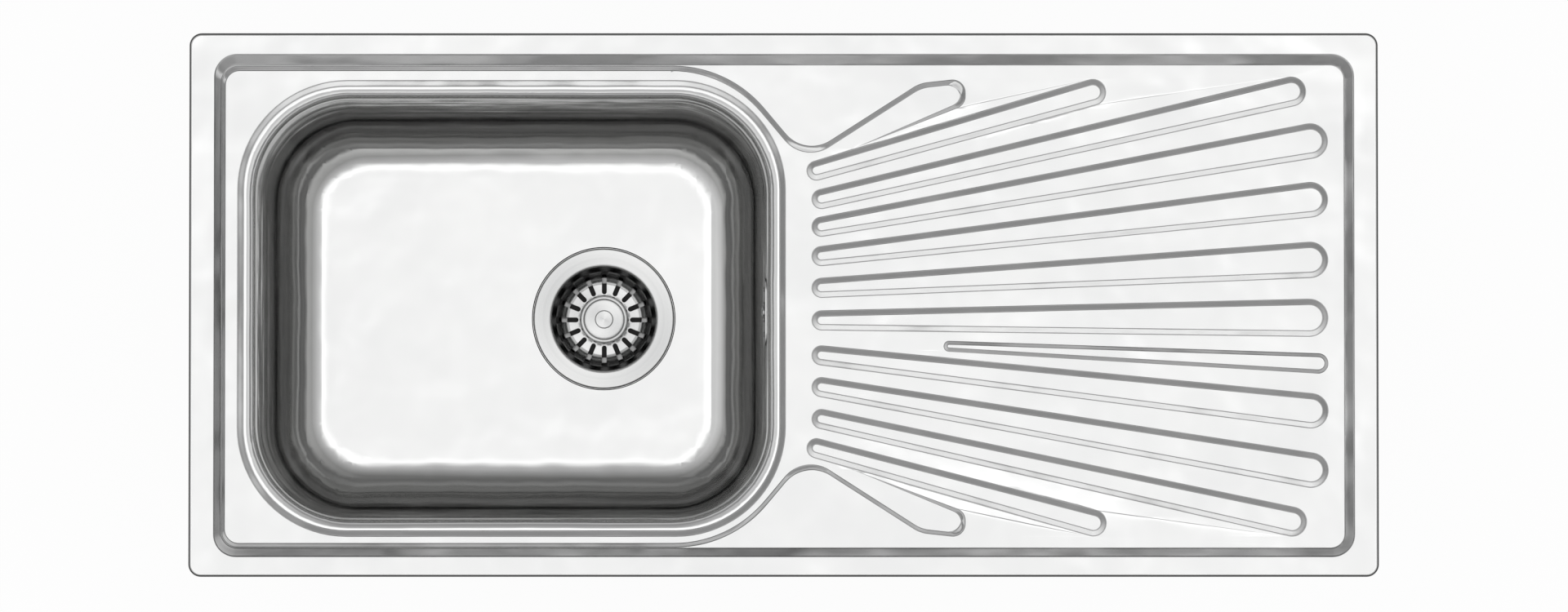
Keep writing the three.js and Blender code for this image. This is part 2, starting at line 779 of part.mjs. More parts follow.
// A shank from its tip up to a domed head.
const boltProfile = (shank, head, headHeight, tip, seatZ) => [
  [0, tip], [shank, tip], [shank, seatZ], [head, seatZ], [head, seatZ + headHeight / 2],
  [0.6 * head, seatZ + headHeight], [0, seatZ + headHeight],
];

// ---- The hose from the overflow to the waste ----

const hoseSides = 8;
const spigotFaceX = wasteX + bodyRadius + spigotLength;
const bodyTop = floorZ - recessDepth - sheet - gasketThickness - 2 * seat;
const spigotZ = bodyTop - spigotDrop;

// The hose's centre line in the upright plane through the waste, as X and Z.
function hoseLine() {
  const from = new THREE.Vector3(0, spigotEnd - fit, -hoseAxisBehind).applyMatrix4(overflow.matrix);
  const start = new THREE.Vector2(from.x, from.z);
  const down = new THREE.Vector2(-Math.sin(draft), -Math.cos(draft));
  const corner = start.clone().addScaledVector(down, (from.z - spigotZ) / Math.cos(draft));
  const turn = Math.PI / 2 - draft;
  const back = hoseBend * Math.tan(turn / 2);
  const arcStart = corner.clone().addScaledVector(down, -back);
  const centre = new THREE.Vector2(corner.x - back, spigotZ + hoseBend);
  const line = new THREE.Path();
  line.moveTo(start.x, start.y);
  line.lineTo(arcStart.x, arcStart.y);
  line.absarc(centre.x, centre.y, hoseBend, -draft, -Math.PI / 2, true);
  line.lineTo(spigotFaceX + fit, spigotZ);
  return line;
}

// A ribbed tube with plain ends and an open bore.
function makeHose() {
  const line = hoseLine();
  const length = line.getLength();
  const cuff = 2 * hoseRadius;
  const ribCount = Math.floor((length - 2 * cuff) / ribPitch);
  const ring = (distance, radius) => {
    const share = THREE.MathUtils.clamp(distance / length, 0, 1);
    const at = line.getPointAt(share);
    const heading = line.getTangentAt(share);
    return Array.from({ length: hoseSides }, (_, k) => {
      const angle = (2 * Math.PI * k) / hoseSides;
      const across = radius * Math.cos(angle);
      return new THREE.Vector3(
        at.x - heading.y * across, wasteY + radius * Math.sin(angle), at.y + heading.x * across);
    });
  };
  const outside = [ring(0, hoseRadius), ring(cuff, hoseRadius)];
  const firstRib = (length - ribCount * ribPitch) / 2;
  for (let i = 0; i < ribCount; i++) {
    outside.push(ring(firstRib + (i + 0.25) * ribPitch, hoseRoot));
    outside.push(ring(firstRib + (i + 0.75) * ribPitch, hoseRadius));
  }
  outside.push(ring(length, hoseRadius));
  const boreRings = Math.ceil(ribCount / 5) + 2;
  const inside = Array.from({ length: boreRings + 1 }, (_, i) => ring((length * i) / boreRings, hoseBore));
  const hose = new Body();
  const rings = [...outside, ...inside.reverse()];
  rings.forEach((loop, i) => hose.strip(rings[(i + 1) % rings.length], loop));
  return hose.geometry();
}

// A ring nut over the joint between a spigot and the hose.
function makeHoseNut() {
  const inner = hoseRadius + looseFit;
  const outer = inner + hoseNutWall;
  return turned(ringProfile(inner, outer, -hoseNutLength / 2, hoseNutLength / 2), 2 * hoseSides);
}

// ---- The strainer and the waste ----

const recessZ = floorZ - recessDepth;
const flangeTop = floorZ + flangeProud;
const cupFloorZ = flangeTop - cupDepth;
const basketTop = flangeTop - basketTopDrop;
const basketFloorZ = basketTop - basketHeight;
const waste = new THREE.Group();
waste.position.set(wasteX, wasteY, 0);
sink.add(waste);

// The flange and the cup in one piece, with drain holes round the bolt.
function makeCup() {
  const bolt = boltRadius + fit;
  const profile = [
    [bolt, cupFloorZ - cupWall],
    [cupFootRadius + cupWall - cupFootBend, cupFloorZ - cupWall],
    [cupFootRadius + cupWall, cupFloorZ - cupWall + cupFootBend],
    [cupRadius + cupWall, flangeTop - flangeThickness],
    [flangeRadius, flangeTop - flangeThickness],
    [flangeRadius, flangeTop],
    [cupRadius + flangeRoll, flangeTop],
    [cupRadius + flangeRoll / 3, flangeTop - flangeRoll / 3],
    [cupRadius, flangeTop - flangeRoll],
    [cupFootRadius, cupFloorZ + cupFootBend],
    [cupFootRadius - cupFootBend, cupFloorZ],
    [bolt, cupFloorZ],
    [bolt, cupFloorZ - cupWall],
  ];
  const holes = Array.from({ length: cupHoles }, (_, i) => rod(
    cupHoleRadius, cupFloorZ - 2 * cupWall, cupFloorZ + cupWall, clipSides)
    .translate(cupHoleCircle, 0, 0).rotateZ((2 * Math.PI * (i + 0.5)) / cupHoles));
  return cut(turned(profile, roundSteps), ...holes);
}

// The basket: a dish with a quarter-ellipse wall and radial slots.
function makeBasket() {
  const dishSteps = 4;
  const dish = (wall) => Array.from({ length: dishSteps + 1 }, (_, k) => {
    const angle = ((Math.PI / 2) * k) / dishSteps;
    return [
      basketFloorRadius + (basketRadius - basketFloorRadius - basketWall + wall) * Math.cos(angle),
      basketTop - (basketHeight + wall) * Math.sin(angle),
    ];
  });
  const hole = stemRadius + fit;
  const profile = [
    [hole, basketFloorZ],
    [hole, basketFloorZ - basketWall],
    ...dish(basketWall).reverse(),
    ...dish(0),
    [hole, basketFloorZ],
  ];
  const slotLength = slotOuter - slotInner;
  const slots = Array.from({ length: slotCount }, (_, i) => extruded(
    oblong(slotLength, slotWidth), 2 * basketHeight, 2)
    .translate((slotInner + slotOuter) / 2, 0, basketFloorZ - basketHeight)
    .rotateZ((2 * Math.PI * i) / slotCount));
  return cut(turned(profile, roundSteps), ...slots);
}

const knobZ = basketFloorZ + knobRise;

// The knob stands on the basket's floor: a neck and a disc with a raised edge.
function makeKnob() {
  const hole = stemRadius + fit;
  const top = knobZ + knobThickness;
  return turned([
    [hole, basketFloorZ + seat],
    [2 * stemRadius, basketFloorZ + seat],
    [2 * stemRadius, knobZ],
    [knobRadius, knobZ],
    [knobRadius, top + knobRing],
    [knobRadius - knobRing, top + knobRing],
    [knobRadius - 2 * knobRing, top],
    [hole, top],
    [hole, basketFloorZ + seat],
  ], roundSteps);
}

const stopperZ = cupFloorZ + fit;
const boltHeadTop = cupFloorZ + seat + boltHeadHeight;

function makeStem() {
  return turned(boltProfile(stemRadius, stemHeadRadius, stemHeadHeight, boltHeadTop + fit,
    knobZ + knobThickness + seat), 2 * hoseSides);
}

// The rubber stopper under the basket, hollow over the bolt's head.
function makeStopper() {
  const hole = stemRadius + fit;
  const hollow = boltHeadRadius + looseFit;
  const hollowTop = boltHeadTop + looseFit;
  const top = stopperZ + stopperThickness;
  return turned([
    [hollow, stopperZ],
    [stopperRadius - stopperThickness, stopperZ],
    [stopperRadius, stopperZ + stopperThickness / 3],
    [stopperRadius, stopperZ + (2 * stopperThickness) / 3],
    [stopperRadius - stopperThickness, top],
    [stopperHubRadius, top],
    [stopperHubRadius, basketFloorZ - basketWall - seat],
    [hole, basketFloorZ - basketWall - seat],
    [hole, hollowTop],
    [hollow, hollowTop],
    [hollow, stopperZ],
  ], roundSteps);
}

function makeBolt() {
  const low = cupFloorZ + seat;
  return turned(boltProfile(boltRadius, boltHeadRadius, boltHeadHeight, low - boltLength, low),
    2 * hoseSides);
}

function makeFlangeSeal() {
  return turned(ringProfile(floorHoleRadius, flangeRadius - looseFit, recessZ + seat,
    flangeTop - flangeThickness - seat), roundSteps);
}

function makeUnderGasket() {
  return turned(ringProfile(bodyRadius - bodyWall, flangeRadius, bodyTop + seat,
    bodyTop + seat + gasketThickness), roundSteps);
}

// The plastic body under the bowl: a flange, a chamber, a cone and a threaded outlet. Four
// arms carry the boss for the bolt, and a spigot takes the overflow's hose.
function makeWasteBody() {
  const chamber = bodyRadius - bodyWall;
  const coneTop = bodyTop - bodyDepth;
  const coneFoot = coneTop - coneDepth;
  const outletFoot = coneFoot - outletLength;
  const bore = outletRadius - outletWall;
  const thread = [];
  for (let i = 0; i < threadCount; i++) {
    const z = outletFoot + (i + 1) * threadPitch;
    thread.push([outletRadius, z], [outletRadius + threadHeight, z + threadPitch / 2]);
  }
  const shell = turned([
    [bore, outletFoot],
    [outletRadius, outletFoot],
    ...thread,
    [outletRadius, outletFoot + (threadCount + 1) * threadPitch],
    [outletRadius, coneFoot],
    [bodyRadius, coneTop],
    [bodyRadius, bodyTop - bodyFlange],
    [flangeRadius, bodyTop - bodyFlange],
    [flangeRadius, bodyTop],
    [chamber, bodyTop],
    [chamber, coneTop],
    [bore, coneFoot],
    [bore, outletFoot],
  ], roundSteps);
  const bossTop = cupFloorZ - cupWall - fit;
  const boss = rod(bossRadius, bossTop - bossHeight, bossTop, 2 * hoseSides);
  const arms = Array.from({ length: armCount }, (_, i) => new THREE.BoxGeometry(
    chamber + bodyWall / 2, armWidth, armHeight)
    .translate((chamber + bodyWall / 2) / 2, 0, coneTop + armHeight / 2)
    .rotateZ((2 * Math.PI * (i + 0.5)) / armCount));
  const spigotTip = bodyRadius + spigotLength;
  const tube = rod(hoseRadius, chamber + bodyWall / 4, spigotTip, 2 * hoseSides);
  const tubeBore = rod(hoseBore, chamber - 2 * bodyWall, spigotTip + bodyWall, 2 * hoseSides);
  for (const pipe of [tube, tubeBore]) pipe.rotateY(Math.PI / 2).translate(0, 0, spigotZ);
  const boltBore = rod(boltRadius + fit, bossTop - bossHeight - bodyWall, bossTop + bodyWall, 2 * hoseSides);
  return cut(joined(cut(joined(shell, tube), tubeBore), boss, ...arms), boltBore);
}

// ---- The seal under the rim and the pad under the bowl ----

function makeRimSeal() {
  const loop = (inset, z) => roundedRectangle({
    left: inset - sinkLength / 2,
    right: sinkLength / 2 - inset,
    front: inset - sinkWidth / 2,
    back: sinkWidth / 2 - inset,
    radius: Math.max(outlineRadius - inset, outlineRadius / 4),
    z,
  }, cornerSteps);
  const top = rimHeight - sheet - seat;
  const loops = [
    loop(sealInset, 0), loop(sealInset, top),
    loop(sealInset + sealWidth, top), loop(sealInset + sealWidth, 0),
  ];
  const seal = new Body();
  loops.forEach((line, i) => seal.strip(line, loops[(i + 1) % loops.length]));
  return seal.geometry();
}

// The pad lies beside the waste.
function makePad() {
  const inset = bandWidth + wallRun + bottomFillet + padMargin;
  const outer = roundedRectangle({
    left: bowlCentreX - bowlLength / 2 + inset,
    right: wasteX - recessOuter - padMargin,
    front: centreShift - bowlWidth / 2 + inset,
    back: centreShift + bowlWidth / 2 - inset,
    radius: padMargin,
    z: floorZ - sheet - seat,
  }, cornerSteps);
  const pad = new Body();
  pad.fill(outer, [], true);
  pad.fill(lowered(outer, padThickness), [], false);
  pad.strip(lowered(outer, padThickness), outer);
  return pad.geometry();
}

// ---- The clips that draw the sink down on its worktop ----

// Each clip's own X runs inwards from the outline, Y along the edge and Z up.
const clipPlaces = [
  ...backClipShares.map((share) => ({ x: share * sinkLength, y: sinkWidth / 2, turn: -Math.PI / 2 })),
  ...backClipShares.map((share) => ({ x: share * sinkLength, y: -sinkWidth / 2, turn: Math.PI / 2 })),
  { x: -sinkLength / 2, y: centreShift, turn: 0 },
  { x: sinkLength / 2, y: centreShift, turn: Math.PI },
];
const clipSides = 12;
const footZ = -clipFoot;
const jawBaseTop = footZ - clipSheet - clipTravel - fit;
const jawFoot = jawBaseTop - jawThickness;

// A side view in X and Z, given a width along Y.
function sideProfile(points, width) {
  const shape = new THREE.Shape(points.map(([x, z]) => new THREE.Vector2(x, z)));
  return extruded(shape, width, 1).rotateX(Math.PI / 2).translate(0, width / 2, 0);
}

// A strip bent from sheet: a flange welded under the rim, a leg and a foot for the nut.
function makeBracket() {
  const top = rimHeight - sheet - seat;
  const outside = clipLegInset;
  const inside = clipLegInset + clipSheet;
  const flangeEdge = sealInset + sealWidth + looseFit;
  const footEdge = inside + clipFootLength;
  const bracket = sideProfile([
    [flangeEdge, top - clipSheet], [outside, top - clipSheet], [outside, -clipLegLength],
    [inside, -clipLegLength], [inside, footZ - clipSheet], [footEdge, footZ - clipSheet],
    [footEdge, footZ], [inside, footZ], [inside, top], [flangeEdge, top],
  ], clipWidth);
  const hole = rod(clipScrewRadius + looseFit, footZ - 2 * clipSheet, footZ + clipSheet, clipSides);
  return cut(bracket, hole.translate(clipScrewInset, 0, 0));
}

function makeNut() {
  const corner = nutFlats / Math.sqrt(3);
  const hexagon = new THREE.Shape(Array.from({ length: 6 }, (_, k) => new THREE.Vector2(
    corner * Math.cos((Math.PI * k) / 3), corner * Math.sin((Math.PI * k) / 3))));
  hexagon.holes.push(roundHole(clipScrewRadius + fit));
  return extruded(hexagon, nutHeight, clipSides / 2).translate(clipScrewInset, 0, footZ + seat);
}

// A hook that the screw draws up. It slides on the bracket's leg and bites with its teeth.
function makeJaw() {
  const teeth = [];
  for (let i = 0; i < jawTeeth; i++) {
    const x = jawInset + i * jawTooth;
    teeth.push([x, -jawTop], [x + jawTooth / 2, -jawTop - jawToothDepth]);
  }
  const hookEdge = jawInset + jawTeeth * jawTooth;
  const heel = clipScrewInset + jawHeel;
  const jaw = sideProfile([
    ...teeth, [hookEdge, -jawTop], [hookEdge, jawBaseTop], [heel, jawBaseTop], [heel, jawFoot],
    [jawInset, jawFoot],
  ], jawWidth);
  const slot = new THREE.BoxGeometry(clipSheet + 2 * fit, clipWidth + 2 * fit, 3 * jawThickness)
    .translate(clipLegInset + clipSheet / 2, 0, (jawBaseTop + jawFoot) / 2);
  const hole = rod(clipScrewRadius + fit, jawFoot - jawThickness, jawBaseTop + jawThickness, clipSides);
  return cut(jaw, slot, hole.translate(clipScrewInset, 0, 0));
}

function makeScrew() {
  const headTop = jawFoot - seat;
  const shank = rod(clipScrewRadius, headTop - screwHeadHeight / 2, footZ + nutHeight + clipSheet, clipSides);
  return joined(shank, rod(screwHeadRadius, headTop - screwHeadHeight, headTop, 6));
}

// ---- The assembly ----

addNode('sink_deck', makeDeck(), steel);
addNode('sink_bowl', makeBowl(), steel);
addNode('rim_seal', makeRimSeal(), rubber);
addNode('sound_pad', makePad(), padding);

addNode('overflow_plate', makeOverflowPlate(), brightSteel, overflow);
addNode('overflow_screw', makeOverflowScrew(), brightSteel, overflow);
addNode('overflow_gasket', makeOverflowGasket(), rubber, overflow);
addNode('overflow_housing', makeOverflowHousing(), plastic, overflow);
addNode('overflow_hose', makeHose(), plastic);
const topNut = addNode('hose_nut_top', makeHoseNut(), plastic, overflow);
topNut.rotation.x = Math.PI / 2;
topNut.position.set(0, spigotEnd, -hoseAxisBehind);
const wasteNut = addNode('hose_nut_waste', makeHoseNut(), plastic);
wasteNut.rotation.y = Math.PI / 2;
wasteNut.position.set(spigotFaceX, wasteY, spigotZ);

addNode('strainer_cup', makeCup(), brightSteel, waste);
addNode('basket', makeBasket(), brightSteel, waste);
addNode('basket_knob', makeKnob(), brightSteel, waste);
addNode('basket_stem', makeStem(), brightSteel, waste);
addNode('basket_stopper', makeStopper(), rubber, waste);
addNode('flange_seal', makeFlangeSeal(), rubber, waste);
addNode('under_gasket', makeUnderGasket(), rubber, waste);
addNode('waste_bolt', makeBolt(), brightSteel, waste);
addNode('waste_body', makeWasteBody(), plastic, waste);

clipPlaces.forEach(({ x, y, turn }, i) => {
  const place = new THREE.Group();
  place.position.set(x, y, 0);
  place.rotation.z = turn;
  sink.add(place);
  addNode(`clip_bracket_${i + 1}`, makeBracket(), zincSteel, place);
  addNode(`clip_nut_${i + 1}`, makeNut(), zincSteel, place);
  addNode(`clip_jaw_${i + 1}`, makeJaw(), zincSteel, place);
  addNode(`clip_screw_${i + 1}`, makeScrew(), zincSteel, place).position.x = clipScrewInset;
});

export default sink;
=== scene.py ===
"""An inset kitchen sink in pressed stainless steel, seen from above on a pale floor.

One deep bowl lies on the left and a ribbed drainboard on the right. A basket strainer, an
overflow, a seal and eight clips belong to it. Metres, +Z up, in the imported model's frame.
"""
import math

import bmesh
import bpy
from mathutils import Matrix, Vector


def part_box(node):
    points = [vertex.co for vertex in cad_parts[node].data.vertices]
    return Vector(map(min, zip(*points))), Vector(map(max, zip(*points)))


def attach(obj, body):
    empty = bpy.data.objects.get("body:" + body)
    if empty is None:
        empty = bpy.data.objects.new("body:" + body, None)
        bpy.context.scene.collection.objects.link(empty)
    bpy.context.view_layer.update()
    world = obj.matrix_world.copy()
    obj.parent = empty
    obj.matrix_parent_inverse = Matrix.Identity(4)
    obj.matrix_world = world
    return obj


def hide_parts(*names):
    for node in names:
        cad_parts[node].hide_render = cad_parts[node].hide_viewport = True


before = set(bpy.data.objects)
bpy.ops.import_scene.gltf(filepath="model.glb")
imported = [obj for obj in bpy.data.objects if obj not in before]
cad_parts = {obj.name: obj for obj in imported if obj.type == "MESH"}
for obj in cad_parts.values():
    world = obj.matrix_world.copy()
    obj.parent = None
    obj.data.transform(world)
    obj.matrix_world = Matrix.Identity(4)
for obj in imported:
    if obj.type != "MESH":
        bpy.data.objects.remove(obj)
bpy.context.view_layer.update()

# ---- The pressed sheet: rim, levels and slopes ----

SINK_LENGTH = 0.950
SINK_WIDTH = 0.435
OUTLINE_RADIUS = 0.010
SHEET = 0.001
RIM_HEIGHT = 0.005
FOLD_GAP = 0.0005
FOLD_RADIUS = 0.0022
RIM_LEFT = 0.020
RIM_RIGHT = 0.0193
RIM_BACK = 0.017
RIM_FRONT = 0.016
FRAME_RADIUS = 0.018
FRAME_FOOT_RADIUS = 0.011
PLATEAU_DROP = 0.006
LEDGE_DROP = 0.009
RUN_LEFT = 0.98
RUN_RIGHT = 1.35
RUN_BACK = 1.45
RUN_FRONT = 1.25
CENTRE_Y = -0.0025
PLATEAU_Z = RIM_HEIGHT - PLATEAU_DROP
LEDGE_Z = RIM_HEIGHT - LEDGE_DROP

# ---- The bowl ----

BOWL_LEFT = -0.4371
BOWL_RIGHT = 0.0019
BOWL_HALF_WIDTH = 0.183
BOWL_CORNER = 0.088
BAND_WIDTH = 0.0054
BAND_DROP = 0.003
MOUTH_Z = LEDGE_Z - BAND_DROP
FLOOR_Z = -0.160
FLOOR_FALL = 0.0015
FLOOR_REACH = 0.193
ROLL_RADIUS = 0.010
WALL_FOOT = 0.112
WALL_RUN = 0.0198
FLOOR_RADIUS = 0.034
BOTTOM_FILLET = 0.043
DRAFT = math.atan2(WALL_RUN - ROLL_RADIUS, WALL_FOOT - ROLL_RADIUS)

# ---- Where the pressed steel's painted light and shade, and its waves, begin ----

MOUTH_MARK = -0.008
FILLET_MARK = -0.100
LOW_WALL_MARK = -0.1570
FLOOR_EDGE_MARK = -0.1580
SLOPE_X = 0.4455
SLOPE_Y = 0.1910
SLOPE_MIDDLE_Z = 0.0018
SLOPE_HALF_HEIGHT = 0.0028
FOLD_SHADE_WIDTH = 0.0018
CUP_SHADE_MARK = -0.1885

# ---- The drainboard: the step round the bowl, the leaves and the ribs ----

STEP_ANGLE = math.radians(50)
STEP_RADIUS = 0.093
HOLLOW = (0.0167, 0.1187, 0.029)
LEAF_SHOULDER = (0.1095, 0.1782, 0.025)
LEAF_TIP = (0.1435, 0.1820, 0.0085)
LEAF_TIP_HEIGHT = 0.018
LEAF_ROOT_X = 0.056
RIB_HEIGHT = 0.0028
RIB_WALL = 0.0046
LANE_START = 0.0225
USUAL_END = 0.0078
LONG = 0.4350
MIDDLE = 0.4176
SHORT = 0.2577
# Left end's middle, right end's middle, reach, right end's height, start, left end's radius
RIBS = [
    (0.1102, 0.1728, SHORT, 0.0209, 0.0185, USUAL_END),
    (0.0874, 0.1734, MIDDLE, 0.0234, LANE_START, USUAL_END),
    (0.0652, 0.1337, LONG, 0.0280, LANE_START, USUAL_END),
    (0.0417, 0.0867, LONG, 0.0280, LANE_START, USUAL_END),
    (0.0163, 0.0385, LONG, 0.0286, LANE_START, USUAL_END),
    (-0.0098, -0.0078, LONG, 0.0300, LANE_START, USUAL_END),
    (-0.0305, -0.0443, LONG, 0.0160, 0.1280, 0.0042),
    (-0.0378, -0.0822, LONG, 0.0278, LANE_START, USUAL_END),
    (-0.0632, -0.1297, LONG, 0.0278, LANE_START, USUAL_END),
    (-0.0887, -0.1708, MIDDLE, 0.0234, LANE_START, USUAL_END),
    (-0.1121, -0.1719, SHORT, 0.0209, 0.0185, USUAL_END),
]

# ---- The strainer, the waste and the overflow ----

WASTE = Vector((-0.1466, -0.0045, 0.0))
RECESS_OUTER = 0.0585
RECESS_RUN = 0.0008
RECESS_DEPTH = 0.002
FLOOR_HOLE = 0.045
FLANGE_RADIUS = 0.0570
FLANGE_TOP = -0.1597
FLANGE_THICKNESS = 0.0012
FLANGE_EDGE = 0.0011
CUP_LIP = 0.0026
STEM_HOLE = 0.0043
CUP_RADIUS = 0.0423
CUP_FOOT = 0.037
CUP_FLOOR = -0.1957
CUP_WALL = 0.001
CUP_HOLES = 8
CUP_HOLE_RADIUS = 0.005
CUP_HOLE_CIRCLE = 0.022
BASKET_TOP = -0.1677
BASKET_FLOOR = -0.1867
BASKET_RADIUS = 0.039
BASKET_FLOOR_RADIUS = 0.028
BASKET_WALL = 0.0009
SLOTS = 16
SLOT_WIDTH = 0.004
SLOT_INNER = 0.021
SLOT_OUTER = 0.0374
KNOB_UNDER = -0.1787
KNOB_RADIUS = 0.020
KNOB_THICKNESS = 0.003
KNOB_RING = 0.0015
STEM_HEAD_RADIUS = 0.0075
STEM_HEAD_HEIGHT = 0.0018
OVERFLOW_Z = -0.027
OVERFLOW_X = -0.01446
PLATE_LENGTH = 0.055
PLATE_HEIGHT = 0.022
PLATE_THICKNESS = 0.0012
PLATE_SLOT = 0.004
PLATE_PITCH = 0.012
HOSE_RADIUS = 0.0118
HOSE_ROOT = 0.0105
HOSE_BORE = 0.009
HOSE_BEND = 0.060
HOSE_PITCH = 0.0046
HOSE_BEHIND = 0.0172
HOSE_TOP = -0.0253
SPIGOT_Z = -0.1872
SPIGOT_FACE_X = -0.0833
SEAT = 0.0001

# ---- The view: 1920 by 750 pixels, with the outline's middle beside the picture's middle ----

VIEW_WIDTH = 1.2520
CAMERA_DISTANCE = 8.0
CAMERA_ELEVATION = math.radians(87.6)
CAMERA_AIM = Vector((0.0003, -0.0011, 0.005))
FLOOR_LEVEL = -0.2566
WORLD_LEVEL = 1.8

scene = bpy.context.scene
scene.view_settings.view_transform = "Standard"


# ---- Shader nodes ----


class Value:
    """A node's output. Arithmetic on it adds Math nodes."""

    def __init__(self, finish, socket):
        self.finish = finish
        self.socket = socket

    def _math(self, operation, first, second=None):
        return self.finish.add("ShaderNodeMath", {"operation": operation}, [first, second])[0]

    def __add__(self, other):
        return self._math("ADD", self, other)

    def __radd__(self, other):
        return self._math("ADD", other, self)

    def __sub__(self, other):
        return self._math("SUBTRACT", self, other)

    def __rsub__(self, other):
        return self._math("SUBTRACT", other, self)

    def __mul__(self, other):
        return self._math("MULTIPLY", self, other)

    def __rmul__(self, other):
        return self._math("MULTIPLY", other, self)

    def call(self, operation, other=None):
        return self._math(operation, self, other)

    def limited(self):
        """The value held between 0 and 1."""
        return self.call("MINIMUM", 1.0).call("MAXIMUM", 0.0)


class Finish:
    """A node tree of a material or the world."""

    def __init__(self, tree):
        self.tree = tree
        self.tree.nodes.clear()

    def add(self, kind, settings=None, inputs=None):
        """Adds a node, sets it up, fills its sockets and returns its outputs as Values."""
        node = self.tree.nodes.new(kind)
        for name, value in (settings or {}).items():
            if name == "stops":
                self.set_stops(node.color_ramp, value)
            else:
                setattr(node, name, value)
        items = inputs.items() if isinstance(inputs, dict) else enumerate(inputs or [])
        for name, value in items:
            if isinstance(value, Value):
                self.tree.links.new(value.socket, node.inputs[name])
            elif value is not None:
                node.inputs[name].default_value = value
        return [Value(self, socket) for socket in node.outputs]

    @staticmethod
    def set_stops(ramp, stops):
        while len(ramp.elements) < len(stops):
            ramp.elements.new(0.5)
        for element, (place, level) in zip(ramp.elements, stops):
            element.position = place
            element.color = (level, level, level, 1) if isinstance(level, float) else (*level, 1)

    def place(self):
        return self.add("ShaderNodeTexCoord")[3]

    def parts(self, vector):
        return self.add("ShaderNodeSeparateXYZ", None, [vector])

    def vector(self, x, y, z):
        return self.add("ShaderNodeCombineXYZ", None, [x, y, z])[0]

    def noise(self, vector, scale, detail=3.0, roughness=0.5):
        return self.add("ShaderNodeTexNoise", None, {
            "Vector": vector, "Scale": scale, "Detail": detail, "Roughness": roughness,
        })[0]

    def ramp(self, value, stops):
        return self.add("ShaderNodeValToRGB", {"stops": stops}, [value])[0]

    def bump(self, height, distance, strength=1.0, normal=None):
        return self.add("ShaderNodeBump", None, {
            "Height": height, "Distance": distance, "Strength": strength, "Normal": normal,
        })[0]

    def tinted(self, share, low, high):
        """A colour between two others."""
        first = low if isinstance(low, Value) else (*low, 1)
        return self.add("ShaderNodeMix", {"data_type": "RGBA"}, {0: share, 6: first, 7: (*high, 1)})[2]

    def surface(self, **sockets):
        inputs = {name.replace("_", " "): value for name, value in sockets.items()}
        shader = self.add("ShaderNodeBsdfPrincipled", None, inputs)[0]
        self.add("ShaderNodeOutputMaterial", None, [shader])


def new_finish(name):
    material = bpy.data.materials.new(name)
    material.use_nodes = True
    return material, Finish(material.node_tree)


def sheet_relief(finish, place, below_mouth, low_wall):
    """The waves drawn down the bowl's walls, a slight wave all over the sheet, and its grain."""
    x, y, z = finish.parts(place)
    draw = finish.noise(finish.vector(x * 5, y * 5, z * 62), 1.0, 2.0, 0.5)
    ripple = finish.noise(finish.vector(x * 16, y * 16, z * 170), 1.0, 2.0)
    wave = (draw + ripple * 0.1 - 0.55) * low_wall * below_mouth
    sheet_wave = finish.noise(place, 16.0, 2.0, 0.4)
    grain = finish.noise(finish.vector(x * 60, y * 2600, z * 30), 1.0, 2.0)
    waved = finish.bump(wave, 0.0013, 0.6)
    rippled = finish.bump(sheet_wave, 0.0036, 0.6, waved)
    return finish.bump(grain, 0.00002, 0.35, rippled)


def bowl_inside(finish, x, y, below_mouth):
    """The bowl's inner faces, which turn to its middle."""
    normal_x, normal_y, _ = finish.parts(finish.add("ShaderNodeTexCoord")[1])
    middle = (BOWL_LEFT + BOWL_RIGHT) / 2
    inward = ((middle - x) * normal_x + (CENTRE_Y - y) * normal_y) * 30
    return inward.limited() * below_mouth


def painted_wall_light_and_shade(finish, place, inside, low_wall):
    """Painted light and shade on the bowl's walls: bright above, dark on the fillet, with painted level
    streaks.
    """
    x, y, z = finish.parts(place)
    # Painted light on the upper walls, painted shade on the fillet and painted dark streaks on the low wall.
    above_floor = ((z - FLOOR_EDGE_MARK) * 500).limited()
    on_fillet = ((z - FILLET_MARK) * -60).limited()
    painted_streak = finish.noise(finish.vector(x * 3, y * 3, z * 95), 1.0, 2.0, 0.6)
    painted_streak = finish.ramp(painted_streak, [(0.40, 0.0), (0.60, 1.0)])
    tint = finish.tinted(inside * (1 - on_fillet), (1.0, 1.0, 1.0), (1.36, 1.36, 1.35))
    tint = finish.tinted(inside * on_fillet * above_floor, tint, (0.50, 0.50, 0.494))
    return finish.tinted(inside * low_wall * painted_streak * 0.30, tint, (0.16, 0.16, 0.158))


def slope_shade(finish, place):
    """Painted shade on the frame's slope: dark stretches between its bright streaks."""
    x, y, z = finish.parts(place)
    near_frame = (x.call("ABSOLUTE") - SLOPE_X).call("MAXIMUM", y.call("ABSOLUTE") - SLOPE_Y)
    height = SLOPE_HALF_HEIGHT - (z - SLOPE_MIDDLE_Z).call("ABSOLUTE")
    painted_streak = finish.noise(finish.vector(x * 7, y * 7, z * 40), 1.0, 3.0)
    painted_streak = finish.ramp(painted_streak, [(0.42, 0.0), (0.56, 1.0)])
    return (near_frame * 2000).limited() * (height * 1500).limited() * (1 - painted_streak)


def fold_shade(x, y):
    """Painted shade on the turn of the fold at the sink's outline."""
    past_x = (x.call("ABSOLUTE") - (SINK_LENGTH / 2 - OUTLINE_RADIUS)).call("MAXIMUM", 0.0)
    past_y = (y.call("ABSOLUTE") - (SINK_WIDTH / 2 - OUTLINE_RADIUS)).call("MAXIMUM", 0.0)
    reach = (past_x * past_x + past_y * past_y).call("SQRT")
    return ((reach - (OUTLINE_RADIUS - FOLD_SHADE_WIDTH)) * 1600).limited()


